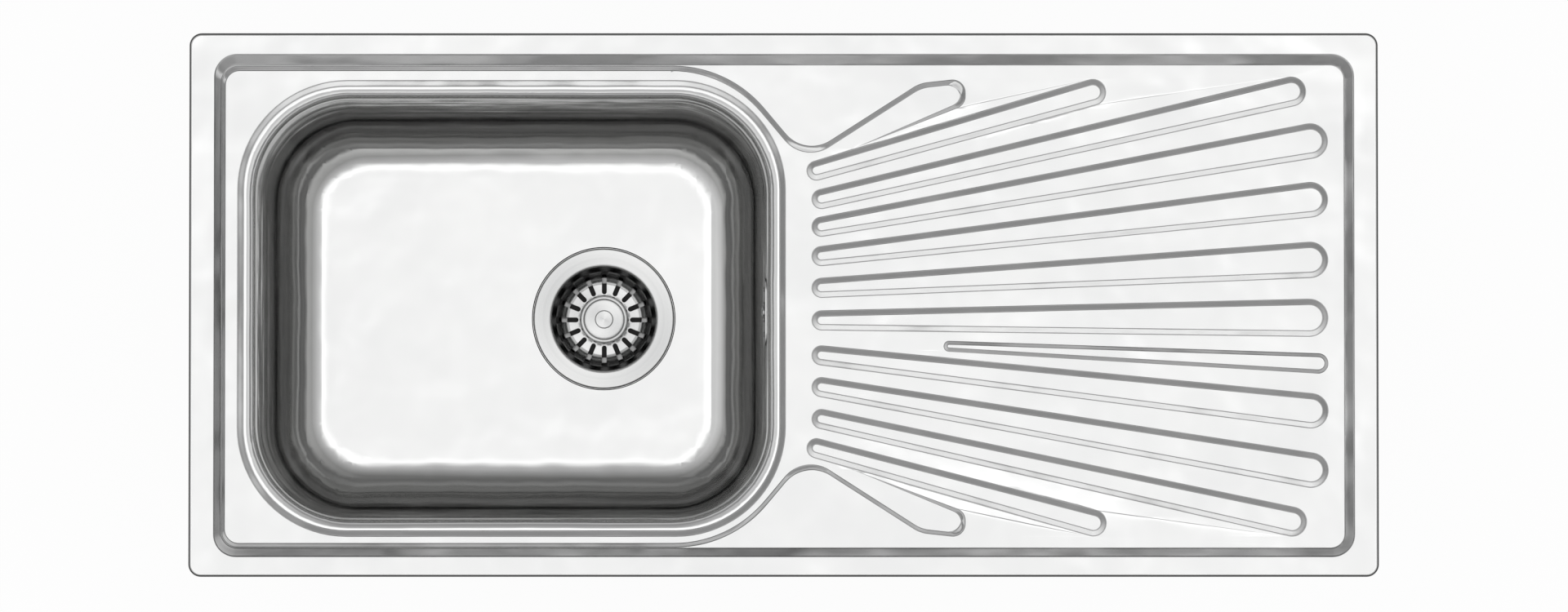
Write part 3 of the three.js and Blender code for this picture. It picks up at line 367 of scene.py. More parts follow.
def pressed_steel():
    """Polished sheet: a fine even grain, faint smudges, drawn waves on the bowl's walls, painted light and
    shade.
    """
    material, finish = new_finish("pressed_steel")
    place = finish.place()
    x, y, z = finish.parts(place)
    smudge = finish.noise(place, 9.0, 4.0, 0.6)
    clean = finish.noise(place, 55.0, 3.0)
    below_mouth = ((z - MOUTH_MARK) * -90).limited()
    low_wall = ((z - LOW_WALL_MARK) * 60).limited()
    sheet = finish.tinted(smudge, (0.575, 0.578, 0.58), (0.665, 0.665, 0.66))
    # Painted light and shade on the bowl's inner walls.
    painted_light_and_shade = painted_wall_light_and_shade(finish, place, bowl_inside(finish, x, y, below_mouth), low_wall)
    # Painted shade on the frame's slope, between bright streaks.
    painted_light_and_shade = finish.tinted(slope_shade(finish, place) * 0.55, painted_light_and_shade, (0.30, 0.30, 0.30))
    # Painted shade on the fold at the sink's outline.
    painted_light_and_shade = finish.tinted(fold_shade(x, y), painted_light_and_shade, (0.17, 0.17, 0.17))
    finish.surface(
        Base_Color=finish.add("ShaderNodeVectorMath", {"operation": "MULTIPLY"}, [sheet, painted_light_and_shade])[0],
        Metallic=1.0, Roughness=smudge * 0.07 + clean * 0.04 + 0.10,
        Normal=sheet_relief(finish, place, below_mouth, low_wall),
    )
    return material


def turned_steel(name, centre, roughness):
    """Bright steel with the fine rings of a lathe round a centre, a painted sheen and painted shade deep in
    the cup.
    """
    material, finish = new_finish(name)
    place = finish.place()
    x, y, z = finish.parts(place)
    across = x - centre.x
    along = y - centre.y
    reach = (across * across + along * along).call("SQRT")
    rings = finish.noise(finish.vector(reach * 2600, z * 900, 0.0), 1.0, 2.0, 0.7)
    wide_rings = finish.noise(finish.vector(reach * 420, z * 200, 3.0), 1.0, 2.0)
    smudge = finish.noise(place, 30.0, 3.0)
    turned = finish.bump(rings * 0.7 + wide_rings * 0.5, 0.00005, 0.6)
    # A painted sheen: two bright and two dark lobes of colour round the centre.
    around = across.call("ARCTAN2", along) * 2 + 0.6
    painted_sheen = around.call("SINE") * 0.5 + 0.5
    bright = finish.tinted(wide_rings * 0.4 + painted_sheen * 0.6, (0.43, 0.433, 0.433), (0.575, 0.575, 0.572))
    # Painted shade deep in the cup, below its floor's mark.
    deep = ((z - CUP_SHADE_MARK) * -300).limited()
    tint = finish.tinted(deep * 0.7, bright, (0.10, 0.10, 0.10))
    finish.surface(
        Base_Color=tint, Metallic=1.0, Roughness=smudge * 0.08 + rings * 0.08 + roughness, Normal=turned,
    )
    return material


def zinc_steel():
    """Zinc-plated steel: a satin face with a faint crystal pattern."""
    material, finish = new_finish("zinc_steel")
    place = finish.place()
    spangle = finish.add("ShaderNodeTexVoronoi", None, {"Vector": place, "Scale": 420.0})[1]
    shade = finish.add("ShaderNodeSeparateColor", None, [spangle])[0]
    cloud = finish.noise(place, 90.0, 4.0)
    grain = finish.noise(place, 2200.0, 2.0)
    tint = finish.tinted(shade * 0.6 + cloud * 0.4, (0.50, 0.52, 0.55), (0.68, 0.70, 0.72))
    finish.surface(
        Base_Color=tint, Metallic=1.0, Roughness=cloud * 0.18 + shade * 0.08 + 0.26,
        Normal=finish.bump(grain, 0.00003, 0.4),
    )
    return material


def rubber():
    """Black rubber with a matt, faintly dusty skin."""
    material, finish = new_finish("rubber")
    place = finish.place()
    dust = finish.noise(place, 60.0, 5.0, 0.65)
    grain = finish.noise(place, 1800.0, 3.0)
    finish.surface(
        Base_Color=finish.tinted(dust, (0.014, 0.014, 0.015), (0.045, 0.044, 0.043)),
        Roughness=dust * 0.2 + 0.62, Normal=finish.bump(grain, 0.00008, 0.5),
    )
    return material


def bitumen_pad():
    """A dark damping mat with a coarse pressed grain."""
    material, finish = new_finish("bitumen_pad")
    place = finish.place()
    pebble = finish.add("ShaderNodeTexVoronoi", None, {"Vector": place, "Scale": 520.0})[0]
    grain = finish.noise(place, 900.0, 4.0)
    blotch = finish.noise(place, 24.0, 4.0)
    finish.surface(
        Base_Color=finish.tinted(blotch, (0.075, 0.076, 0.080), (0.13, 0.13, 0.132)),
        Roughness=grain * 0.15 + 0.78,
        Normal=finish.bump(pebble * 0.7 + grain * 0.5, 0.0004, 0.6),
    )
    return material


def white_plastic():
    """Moulded plastic: satin, with a fine spark-eroded grain and slight flow clouds."""
    material, finish = new_finish("white_plastic")
    place = finish.place()
    cloud = finish.noise(place, 22.0, 4.0)
    grain = finish.noise(place, 1500.0, 3.0)
    finish.surface(
        Base_Color=finish.tinted(cloud, (0.74, 0.74, 0.715), (0.82, 0.82, 0.80)),
        Roughness=cloud * 0.12 + grain * 0.08 + 0.34,
        Normal=finish.bump(grain, 0.00004, 0.45),
    )
    return material


SHEET_STEEL = pressed_steel()
STRAINER_STEEL = turned_steel("bright_steel", WASTE, 0.14)
PLATE_STEEL = turned_steel("plate_steel", Vector((OVERFLOW_X, WASTE.y, 0.0)), 0.12)
ZINC = zinc_steel()
RUBBER = rubber()
MAT = bitumen_pad()
PLASTIC = white_plastic()


# ---- Making pieces ----


def new_piece(bm, name, material, nodes, body="sink", crease=math.radians(32)):
    """Turns a bmesh into a smooth-shaded piece that replaces its CAD nodes."""
    for edge in bm.edges:
        edge.smooth = edge.calc_face_angle(0.0) < crease
    for face in bm.faces:
        face.smooth = True
    mesh = bpy.data.meshes.new(name)
    bm.to_mesh(mesh)
    bm.free()
    mesh.materials.append(material)
    piece = bpy.data.objects.new(name, mesh)
    scene.collection.objects.link(piece)
    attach(piece, body)
    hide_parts(*nodes)
    return piece


def flatten_shading(piece):
    """Lets the wide faces set the shading beside narrow bends."""
    normals = piece.modifiers.new("shading", "WEIGHTED_NORMAL")
    normals.keep_sharp = True


def welded(bm, distance=2e-6):
    bmesh.ops.remove_doubles(bm, verts=bm.verts, dist=distance)
    bmesh.ops.recalc_face_normals(bm, faces=bm.faces)
    return bm


def draw(bm, points, closed=True):
    """Adds a line of points and returns its edges."""
    verts = [bm.verts.new(point) for point in points]
    pairs = list(zip(verts, verts[1:]))
    if closed:
        pairs.append((verts[-1], verts[0]))
    return [bm.edges.new(pair) for pair in pairs]


def skin(bm, lines, closed=True):
    """Extrudes the first line through all the others. Returns the first and the last line's edges."""
    first = edges = draw(bm, lines[0], closed)
    bm.verts.ensure_lookup_table()
    verts = bm.verts[-len(lines[0]):]
    for line in lines[1:]:
        grown = bmesh.ops.extrude_edge_only(bm, edges=edges)["geom"]
        fresh = {item for item in grown if isinstance(item, bmesh.types.BMVert)}
        edges = [e for e in grown if isinstance(e, bmesh.types.BMEdge) and fresh.issuperset(e.verts)]
        ends = [[e.other_vert(v) for e in v.link_edges] for v in verts]
        verts = [next(end for end in around if end in fresh) for around in ends]
        for vert, point in zip(verts, line):
            vert.co = point
    return first, edges


def rounded(corners, steps, closed=True):
    """A line through (x, y, radius) corners, rounded by arcs."""
    line = []
    count = len(corners)
    for i, (x, y, radius) in enumerate(corners):
        at = Vector((x, y))
        if not radius or (not closed and i in (0, count - 1)):
            line.append(at)
            continue
        before = corners[i - 1]
        after = corners[(i + 1) % count]
        into = (at - Vector(before[:2])).normalized()
        out = (Vector(after[:2]) - at).normalized()
        turn = math.atan2(into.x * out.y - into.y * out.x, into.dot(out))
        start = at - into * radius * math.tan(abs(turn) / 2)
        side = Vector((-into.y, into.x)) * math.copysign(radius, turn)
        for k in range(steps + 1):
            spun = (start - (start + side))
            spun.rotate(Matrix.Rotation(turn * k / steps, 2))
            line.append(start + side + spun)
    return line


def at_level(line, level):
    return [Vector((p.x, p.y, level)) for p in line]


def pressed():
    """A pressed step seen from its side, as (share across, share of the drop) pairs.

    Its edges are a little steeper than the straight stretch between them.
    """
    upper = [(0.0, 0.0), (0.025, 0.008), (0.05, 0.034), (0.09, 0.094), (0.135, 0.163), (0.185, 0.216)]
    lower = [(1 - across, 1 - fall) for across, fall in reversed(upper)]
    return upper + [(0.36, 0.374), (0.64, 0.626)] + lower


def s_curve(steps):
    """A soft bend seen from its side, as (share across, share of the drop) pairs."""
    shares = [k / steps for k in range(steps + 1)]
    return [(t, t * t * (3 - 2 * t)) for t in shares]


def lathe(profile, steps, centre=WASTE, closed=True):
    """Spins (radius, height) points round a vertical axis."""
    bm = bmesh.new()
    points = [(centre.x + radius, centre.y, height) for radius, height in profile]
    edges = draw(bm, points, closed)
    verts = list({vert for edge in edges for vert in edge.verts})
    bmesh.ops.spin(
        bm, geom=verts + edges, cent=centre, axis=(0, 0, 1), angle=2 * math.pi, steps=steps,
        use_merge=True,
    )
    return welded(bm)


def arc(centre, radius, start, end, steps):
    """Points of an arc in degrees, as (radius, height) pairs."""
    angles = [math.radians(start + (end - start) * k / steps) for k in range(steps + 1)]
    return [(centre[0] + radius * math.cos(a), centre[1] + radius * math.sin(a)) for a in angles]


def ring_profile(inner, outer, low, high, soft):
    """A ring's section with rounded corners."""
    return (
        arc((outer - soft, low + soft), soft, -90, 0, 4) + arc((outer - soft, high - soft), soft, 0, 90, 4)
        + arc((inner + soft, high - soft), soft, 90, 180, 4)
        + arc((inner + soft, low + soft), soft, 180, 270, 4)
    )


def carved(base, cutter, sheet=0.0):
    """The base less the cutter. A base that is an open sheet is thickened first."""
    objects = []
    for bm in (base, cutter):
        mesh = bpy.data.meshes.new("carving")
        bm.to_mesh(mesh)
        bm.free()
        objects.append(bpy.data.objects.new("carving", mesh))
        scene.collection.objects.link(objects[-1])
    if sheet:
        thickness = objects[0].modifiers.new("sheet", "SOLIDIFY")
        thickness.thickness = sheet
        thickness.offset = -1
    modifier = objects[0].modifiers.new("opening", "BOOLEAN")
    modifier.operation = "DIFFERENCE"
    modifier.solver = "EXACT"
    modifier.object = objects[1]
    depsgraph = bpy.context.evaluated_depsgraph_get()
    mesh = bpy.data.meshes.new_from_object(objects[0].evaluated_get(depsgraph))
    result = bmesh.new()
    result.from_mesh(mesh)
    bpy.data.meshes.remove(mesh)
    for item in objects:
        bpy.data.meshes.remove(item.data)
    return result


# ---- The deck ----


def frame_foot(drop):
    return {
        "left": RIM_LEFT - SINK_LENGTH / 2 + drop * RUN_LEFT,
        "right": SINK_LENGTH / 2 - RIM_RIGHT - drop * RUN_RIGHT,
        "front": RIM_FRONT - SINK_WIDTH / 2 + drop * RUN_FRONT,
        "back": SINK_WIDTH / 2 - RIM_BACK - drop * RUN_BACK,
    }


def step_plan(side):
    """Where a step leaves the frame's slope: its middle line, half its width and its start."""
    edge = "back" if side > 0 else "front"
    plateau = side * (frame_foot(PLATEAU_DROP)[edge] - CENTRE_Y)
    ledge = side * (frame_foot(LEDGE_DROP)[edge] - CENTRE_Y)
    middle = (plateau + ledge) / 2
    bend_x = HOLLOW[0] - (middle - HOLLOW[1]) / math.tan(STEP_ANGLE)
    start_x = bend_x - STEP_RADIUS * math.tan(STEP_ANGLE / 2)
    return {"side": side, "middle": middle, "half": (plateau - ledge) / 2, "bend": bend_x, "start": start_x}


STEPS = {1: step_plan(1), -1: step_plan(-1)}
STEP_CURVE = pressed()
FRAME_CURVE = [
    (-0.1, 0.0), (-0.06, 0.0), (-0.03, 0.004), (0.0, 0.026), (0.03, 0.066), (0.08, 0.132), (0.13, 0.18),
    (0.86, 0.845), (0.91, 0.905), (0.95, 0.958), (0.98, 0.988), (1.0, 1.0),
]
CORNER_STEPS = 12
FIELD_PITCH = 0.012


def drain_side(edges, radius, level):
    """The part of a frame line round the drainboard, between the two steps' starts."""
    corners = [
        (STEPS[-1]["start"], edges["front"], 0), (edges["right"], edges["front"], radius),
        (edges["right"], edges["back"], radius), (STEPS[1]["start"], edges["back"], 0),
    ]
    return at_level(rounded(corners, CORNER_STEPS, False), level)


def bowl_side(edges, radius, level):
    """The part of a frame line round the bowl, between the two steps' starts."""
    corners = [
        (STEPS[1]["start"], edges["back"], 0), (edges["left"], edges["back"], radius),
        (edges["left"], edges["front"], radius), (STEPS[-1]["start"], edges["front"], 0),
    ]
    return at_level(rounded(corners, CORNER_STEPS, False), level)


def frame_loop(edges, drain_radius, bowl_radius, level):
    return drain_side(edges, drain_radius, level)[:-1] + bowl_side(edges, bowl_radius, level)[:-1]


def outline_loop(inset, level):
    edges = {
        "left": inset - SINK_LENGTH / 2, "right": SINK_LENGTH / 2 - inset,
        "front": inset - SINK_WIDTH / 2, "back": SINK_WIDTH / 2 - inset,
    }
    return frame_loop(edges, OUTLINE_RADIUS - inset, OUTLINE_RADIUS - inset, level)


def between(high, low, curve):
    """Lines from a high line to a low one along a side view."""
    lines = []
    for across, fall in curve:
        line = [a.lerp(b, across) for a, b in zip(high, low)]
        for point, a, b in zip(line, high, low):
            point.z = a.z + (b.z - a.z) * fall
        lines.append(line)
    return lines


def rib_outline(rib, inset, rise):
    """A rib's outline drawn in by an inset: two round ends and the lines that touch both."""
    left_y, right_y, reach, height, start, left_radius = rib
    left = Vector((start + left_radius, CENTRE_Y + left_y))
    right = Vector((reach - height / 2, CENTRE_Y + right_y))
    along = right - left
    heading = math.atan2(along.y, along.x)
    half = math.pi / 2 + math.asin((height / 2 - left_radius) / along.length)
    line = []
    for centre, radius, low, high, steps in (
        (right, height / 2 - inset, -half, half, 18),
        (left, left_radius - inset, half, 2 * math.pi - half, 14),
    ):
        for k in range(steps + 1):
            angle = heading + low + (high - low) * k / steps
            x = centre.x + radius * math.cos(angle)
            y = centre.y + radius * math.sin(angle)
            line.append(Vector((x, y, lane_level(x, LANE_START, reach) + rise)))
    return line


def lane_level(x, start, reach):
    share = min(max((x - start) / (reach - start), 0.0), 1.0)
    return LEDGE_Z + (PLATEAU_Z - LEDGE_Z) * share


def shifted(corners, i, offset):
    """A corner of an open line moved to the left by an offset. The last one keeps its place."""
    x, y, radius = corners[i]
    at = Vector((x, y))
    if i == len(corners) - 1:
        return (x, y, 0)
    out = (Vector(corners[i + 1][:2]) - at).normalized()
    if i == 0:
        return (x - out.y * offset, y + out.x * offset, 0)
    into = (at - Vector(corners[i - 1][:2])).normalized()
    turn = math.atan2(into.x * out.y - into.y * out.x, into.dot(out))
    shift = Vector((-into.y - out.y, into.x + out.x)).normalized() * offset / math.cos(turn / 2)
    return (x + shift.x, y + shift.y, radius - math.copysign(offset, turn))


def step_line(plan, offset):
    """The step's path on one side: round the bowl's corner, the hollow and the leaf to its root."""
    side = plan["side"]
    left_y, right_y, reach, height, start, left_radius = RIBS[0] if side > 0 else RIBS[-1]
    share = (LEAF_ROOT_X - start - left_radius) / (reach - height / 2 - start - left_radius)
    lean = abs(math.atan2(right_y - left_y, reach - height / 2 - start - left_radius))
    rib_half = left_radius + (height / 2 - left_radius) * share
    root = side * (left_y + (right_y - left_y) * share) + rib_half / math.cos(lean) + 0.0009
    corners = [
        (plan["start"], plan["middle"], 0),
        (plan["bend"], plan["middle"], STEP_RADIUS),
        HOLLOW, LEAF_SHOULDER, LEAF_TIP,
        (LEAF_TIP[0], LEAF_TIP[1] - LEAF_TIP_HEIGHT, LEAF_TIP[2]),
        (LEAF_ROOT_X, root, 0),
    ]
    moved = [shifted(corners, i, offset) for i in range(len(corners))]
    flat = rounded([(x, CENTRE_Y + side * y, radius) for x, y, radius in moved], 14, False)
    return flat


def step_lines(plan):
    """The step's lines from the plateau down to the ledge. The leaf's lower side runs out."""
    lines = []
    run_out = 14 + 2
    for across, fall in STEP_CURVE:
        flat = step_line(plan, plan["half"] * (1 - 2 * across))
        line = at_level(flat, PLATEAU_Z + (LEDGE_Z - PLATEAU_Z) * fall)
        for p in line[-run_out:]:
            high = lane_level(p.x, LEAF_ROOT_X, LEAF_TIP[0])
            p.z = high + (LEDGE_Z - high) * fall
        lines.append(line)
    return lines


def bowl_outline(run, level, radius, steps=20):
    left = BOWL_LEFT + run
    right = BOWL_RIGHT - run
    front = CENTRE_Y - BOWL_HALF_WIDTH + run
    back = CENTRE_Y + BOWL_HALF_WIDTH - run
    corners = [
        (right, front, radius), (right, back, radius), (left, back, radius), (left, front, radius),
    ]
    return at_level(rounded(corners, steps), level)


def cut_field(bm, first, last, axis, pitch):
    """Cuts the sheet by planes at a pitch, so that its wide fields can bend."""
    normal = Vector((0, 0, 0))
    normal[axis] = 1
    count = int((last - first) / pitch)
    for i in range(1, count):
        place = normal * (first + i * (last - first) / count + 0.00013)
        bmesh.ops.bisect_plane(
            bm, geom=bm.verts[:] + bm.edges[:] + bm.faces[:], dist=1e-7, plane_co=place, plane_no=normal,
        )


def relax(bm, field, rounds):
    """Evens out the heights of the marked field. Its edges stay."""
    inner = [v for v in bm.verts if v.link_faces and all(f[field] for f in v.link_faces)]
    for _ in range(rounds):
        bmesh.ops.smooth_vert(bm, verts=inner, factor=0.5, use_axis_z=True)


def fill_field(bm, edges, field):
    """Fills the sheet between an outline and its holes, and marks it as a field."""
    filled = bmesh.ops.triangle_fill(bm, edges=edges, normal=(0, 0, 1), use_beauty=True)
    for item in filled["geom"]:
        if isinstance(item, bmesh.types.BMFace):
            item[field] = 1


def make_deck():
    """The rim, the ledge round the bowl and the ribbed drainboard, pressed from one sheet."""
    bm = bmesh.new()
    field = bm.faces.layers.int.new("field")
    top = frame_foot(0)
    plateau = frame_foot(PLATEAU_DROP)
    ledge = frame_foot(LEDGE_DROP)
    folds = [(0.0, FOLD_GAP), (0.0, RIM_HEIGHT - FOLD_RADIUS)]
    for degrees in (22.5, 45, 67.5, 90):
        angle = math.radians(degrees)
        inset = FOLD_RADIUS * (1 - math.cos(angle))
        folds.append((inset, RIM_HEIGHT - FOLD_RADIUS * (1 - math.sin(angle))))
    folds.append((FOLD_RADIUS + 0.0004, RIM_HEIGHT))
    lines = [outline_loop(inset, level) for inset, level in folds]
    foot_share = PLATEAU_DROP / LEDGE_DROP
    bowl_radius = FRAME_RADIUS + (FRAME_FOOT_RADIUS - FRAME_RADIUS) * foot_share
    outer = frame_loop(top, FRAME_RADIUS, FRAME_RADIUS, RIM_HEIGHT)
    inner = frame_loop(plateau, FRAME_FOOT_RADIUS, bowl_radius, PLATEAU_Z)
    lines += between(outer, inner, FRAME_CURVE)
    skin(bm, lines)
    high = bowl_side(plateau, bowl_radius, PLATEAU_Z)
    low = bowl_side(ledge, FRAME_FOOT_RADIUS, LEDGE_Z)
    skin(bm, between(high, low, STEP_CURVE), False)
    steps = {side: step_lines(plan) for side, plan in STEPS.items()}
    for side in steps:
        skin(bm, steps[side], False)
    for rib in RIBS:
        wall = min(RIB_WALL, 0.7 * rib[5])
        spread = 0.09 * wall
        rises = [
            rib_outline(rib, -spread + (wall + 2 * spread) * across, RIB_HEIGHT * rise)
            for across, rise in STEP_CURVE
        ]
        _, crown = skin(bm, rises)
        fill_field(bm, crown, field)
    band = [
        bowl_outline(BAND_WIDTH * across, LEDGE_Z - BAND_DROP * fall, BOWL_CORNER - BAND_WIDTH * across)
        for across, fall in STEP_CURVE
    ]
    skin(bm, band)
    bmesh.ops.remove_doubles(bm, verts=bm.verts, dist=2e-6)
    field_edge = [e for e in bm.edges if len(e.link_faces) == 1 and is_field_edge(e)]
    fill_field(bm, field_edge, field)
    for face in bm.faces:
        if face.normal.z < -0.01:
            face.normal_flip()
    cut_field(bm, -SINK_LENGTH / 2, SINK_LENGTH / 2, 0, FIELD_PITCH)
    cut_field(bm, -SINK_WIDTH / 2, SINK_WIDTH / 2, 1, FIELD_PITCH)
    relax(bm, field, 250)
    bmesh.ops.recalc_face_normals(bm, faces=bm.faces)
    deck = new_piece(bm, "deck", SHEET_STEEL, ["sink_deck"])
    thickness = deck.modifiers.new("sheet", "SOLIDIFY")
    thickness.thickness = SHEET
    thickness.offset = -1
    flatten_shading(deck)


def is_field_edge(edge):
    """True for the open edges of the ledge, the plateau and the lanes, but not of fold or mouth."""
    low = min(v.co.z for v in edge.verts)
    return LEDGE_Z - 1e-5 < low < PLATEAU_Z + 1e-5


def bowl_profile():
    """The bowl's wall as (run, drop) pairs from its mouth: roll, drawn wall and bottom fillet."""
    profile = []
    for k in range(13):
        angle = (math.pi / 2 - DRAFT) * k / 12
        profile.append((ROLL_RADIUS * math.sin(angle), ROLL_RADIUS * (1 - math.cos(angle))))
    run, drop = profile[-1]
    for share in (0.1, 0.3, 0.5, 0.7, 0.9):
        profile.append((run + (WALL_RUN - run) * share, drop + (WALL_FOOT - drop) * share))
    fillet_drop = MOUTH_Z - FLOOR_Z - FLOOR_FALL - WALL_FOOT
    for k in range(19):
        angle = math.pi / 2 * k / 18
        profile.append((
            WALL_RUN + BOTTOM_FILLET * (1 - math.cos(angle)), WALL_FOOT + fillet_drop * math.sin(angle),
        ))
    return profile


def circle(radius, level, steps):
    return [
        WASTE + Vector((
            radius * math.cos(2 * math.pi * k / steps), radius * math.sin(2 * math.pi * k / steps), level,
        ))
        for k in range(steps)
    ]


def overflow_frame():
    """The overflow's place: X along the wall, Y up it and Z into the bowl."""
    return Matrix((
        (0, math.sin(DRAFT), -math.cos(DRAFT), OVERFLOW_X),
        (-1, 0, 0, WASTE.y),
        (0, math.cos(DRAFT), math.sin(DRAFT), OVERFLOW_Z),
        (0, 0, 0, 1),
    ))


def oblong(length, height, steps=16):
    """A long outline with round ends, along X."""
    radius = height / 2
    reach = length / 2 - radius
    ends = arc((reach, 0), radius, -90, 90, steps) + arc((-reach, 0), radius, 90, 270, steps)
    return [Vector((x, y, 0)) for x, y in ends]


def slab(outline, holes, low, high):
    """A plate between two levels with holes through it."""
    bm = bmesh.new()
    edges = []
    for line in [outline, *holes]:
        edges += draw(bm, at_level(line, low))
    bmesh.ops.triangle_fill(bm, edges=edges, normal=(0, 0, 1), use_beauty=True)
    up = bmesh.ops.extrude_face_region(bm, geom=bm.faces[:])
    verts = [item for item in up["geom"] if isinstance(item, bmesh.types.BMVert)]
    bmesh.ops.translate(bm, verts=verts, vec=(0, 0, high - low))
    return welded(bm)


def settle_floor(bm, field):
    """Lets the floor fall evenly to the waste, and the fillet's foot with it."""
    wall_foot = MOUTH_Z - WALL_FOOT
    for vert in bm.verts:
        reach = (vert.co.xy - WASTE.xy).length - RECESS_OUTER
        level = FLOOR_FALL * min(reach / FLOOR_REACH, 1.0)
        if vert.link_faces and all(face[field] for face in vert.link_faces):
            vert.co.z = FLOOR_Z + level
        elif reach > 0.001 and vert.co.z < wall_foot:
            share = (wall_foot - vert.co.z) / (wall_foot - FLOOR_Z - FLOOR_FALL)
            vert.co.z -= share * (FLOOR_FALL - level)


def make_bowl():
    """The deep-drawn bowl with its recess for the strainer and its overflow opening."""
    bm = bmesh.new()
    field = bm.faces.layers.int.new("field")
    profile = bowl_profile()
    last_run = profile[-1][0]
    mouth_corner = BOWL_CORNER - BAND_WIDTH
    lines = []
    for run, drop in profile:
        corner = mouth_corner + (FLOOR_RADIUS - mouth_corner) * run / last_run
        lines.append(bowl_outline(BAND_WIDTH + run, MOUTH_Z - drop, corner))
    _, foot = skin(bm, lines)
    recess = [
        circle(RECESS_OUTER - RECESS_RUN * across, FLOOR_Z - RECESS_DEPTH * fall, 96)
        for across, fall in s_curve(6)
    ]
    lip, _ = skin(bm, [*recess, circle(FLOOR_HOLE, FLOOR_Z - RECESS_DEPTH, 96)])
    fill_field(bm, foot + lip, field)
    bmesh.ops.remove_doubles(bm, verts=bm.verts, dist=2e-6)
    cut_field(bm, BOWL_LEFT, BOWL_RIGHT, 0, FIELD_PITCH)
    cut_field(bm, -BOWL_HALF_WIDTH, BOWL_HALF_WIDTH, 1, FIELD_PITCH)
    settle_floor(bm, field)
    bmesh.ops.recalc_face_normals(bm, faces=bm.faces)
    lowest = min(bm.faces, key=lambda f: f.calc_center_median().z)
    if lowest.normal.z < 0:
        bmesh.ops.reverse_faces(bm, faces=bm.faces)
    opening = slab(oblong(PLATE_LENGTH - 0.010, PLATE_HEIGHT - 0.010), [], -0.004, 0.004)
    bmesh.ops.transform(opening, matrix=overflow_frame(), verts=opening.verts)
    shell = carved(bm, opening, SHEET)
    bowl = new_piece(shell, "bowl", SHEET_STEEL, ["sink_bowl"], crease=math.radians(28))
    flatten_shading(bowl)


make_deck()
make_bowl()


# ---- The strainer ----


def drilled(places, radius, low, high, steps=20):
    """Upright rods to drill with."""
    bm = bmesh.new()
    for place in places:
        spot = Matrix.Translation((place.x, place.y, (low + high) / 2))
        bmesh.ops.create_cone(
            bm, cap_ends=True, segments=steps, radius1=radius, radius2=radius, depth=high - low, matrix=spot,
        )
    return bm


def make_cup():
    """The strainer's flange and cup, with drain holes in its floor."""
    bolt = 0.0033
    lip = FLANGE_TOP - FLANGE_THICKNESS
    profile = [
        (bolt, CUP_FLOOR - CUP_WALL), (CUP_FOOT - 0.003, CUP_FLOOR - CUP_WALL),
        *arc((CUP_FOOT - 0.002, CUP_FLOOR + 0.002), 0.003, -90, -8, 6),
        (CUP_RADIUS + CUP_WALL, lip - 0.0004), (CUP_RADIUS + CUP_WALL + 0.0004, lip),
        (FLANGE_RADIUS - 0.0001, lip),
        *arc((FLANGE_RADIUS - FLANGE_EDGE, FLANGE_TOP - FLANGE_EDGE), FLANGE_EDGE, 0, 90, 6),
        (CUP_RADIUS + CUP_LIP, FLANGE_TOP),
        *arc((CUP_RADIUS + CUP_LIP, FLANGE_TOP - CUP_LIP), CUP_LIP, 100, 180, 7),
        *arc((CUP_FOOT - 0.003, CUP_FLOOR + 0.003), 0.003, -8, -90, 6), (bolt, CUP_FLOOR),
    ]
    places = [
        WASTE + Vector((
            CUP_HOLE_CIRCLE * math.cos(2 * math.pi * (k + 0.5) / CUP_HOLES),
            CUP_HOLE_CIRCLE * math.sin(2 * math.pi * (k + 0.5) / CUP_HOLES), 0,
        ))
        for k in range(CUP_HOLES)
    ]
    holes = drilled(places, CUP_HOLE_RADIUS, CUP_FLOOR - 0.003, CUP_FLOOR + 0.002)
    new_piece(
        carved(lathe(profile, 96), holes), "strainer_cup_piece", STRAINER_STEEL,
        ["strainer_cup"],
    )


def basket_dish(wall):
    """One side of the dish, from its rim to its middle: a quarter ellipse and a flat floor."""
    reach = BASKET_RADIUS - wall - BASKET_FLOOR_RADIUS
    depth = BASKET_TOP - BASKET_FLOOR - wall
    points = []
    for k in range(11):
        angle = math.pi / 2 * k / 10
        points.append((
            BASKET_FLOOR_RADIUS + reach * math.cos(angle), BASKET_TOP - depth * math.sin(angle),
        ))
    return points


def make_basket():
    """The lift-out dish with radial slots and a round lip."""
    inner = basket_dish(BASKET_WALL)
    outer = basket_dish(0.0)
    profile = [
        *outer, (STEM_HOLE, BASKET_FLOOR), (STEM_HOLE, BASKET_FLOOR + BASKET_WALL),
        *reversed(inner[1:]),
    ]
    slots = bmesh.new()
    for k in range(SLOTS):
        long_slot = slab(oblong(SLOT_OUTER - SLOT_INNER, SLOT_WIDTH, 8), [], -0.0032, 0.0105)
        place = Matrix.Translation(WASTE + Vector((0, 0, BASKET_FLOOR)))
        turn = Matrix.Rotation(2 * math.pi * k / SLOTS, 4, "Z")
        out = Matrix.Translation(((SLOT_INNER + SLOT_OUTER) / 2, 0, 0))
        bmesh.ops.transform(long_slot, matrix=place @ turn @ out, verts=long_slot.verts)
        mesh = bpy.data.meshes.new("slot")
        long_slot.to_mesh(mesh)
        long_slot.free()
        slots.from_mesh(mesh)
        bpy.data.meshes.remove(mesh)
    new_piece(
        carved(lathe(profile, 96), slots), "basket_dish", STRAINER_STEEL, ["basket"],
        "basket",
    )


def make_knob():
    """The cap over the basket: a disc with a raised ring, on the stem's round head."""
    top = KNOB_UNDER + KNOB_THICKNESS
    crest = top + KNOB_RING
    profile = [
        (STEM_HOLE, KNOB_UNDER), (KNOB_RADIUS - 0.0008, KNOB_UNDER),
        *arc((KNOB_RADIUS - 0.0008, KNOB_UNDER + 0.0008), 0.0008, -90, 0, 4),
        *arc((KNOB_RADIUS - 0.0026, crest - 0.0026), 0.0026, 0, 90, 8),
        (KNOB_RADIUS - 0.0034, crest - 0.0003), (KNOB_RADIUS - 0.0042, top + 0.0003),
        (KNOB_RADIUS - 0.0055, top), (STEM_HOLE, top),
    ]
    new_piece(lathe(profile, 80), "knob", STRAINER_STEEL, ["basket_knob"], "basket")


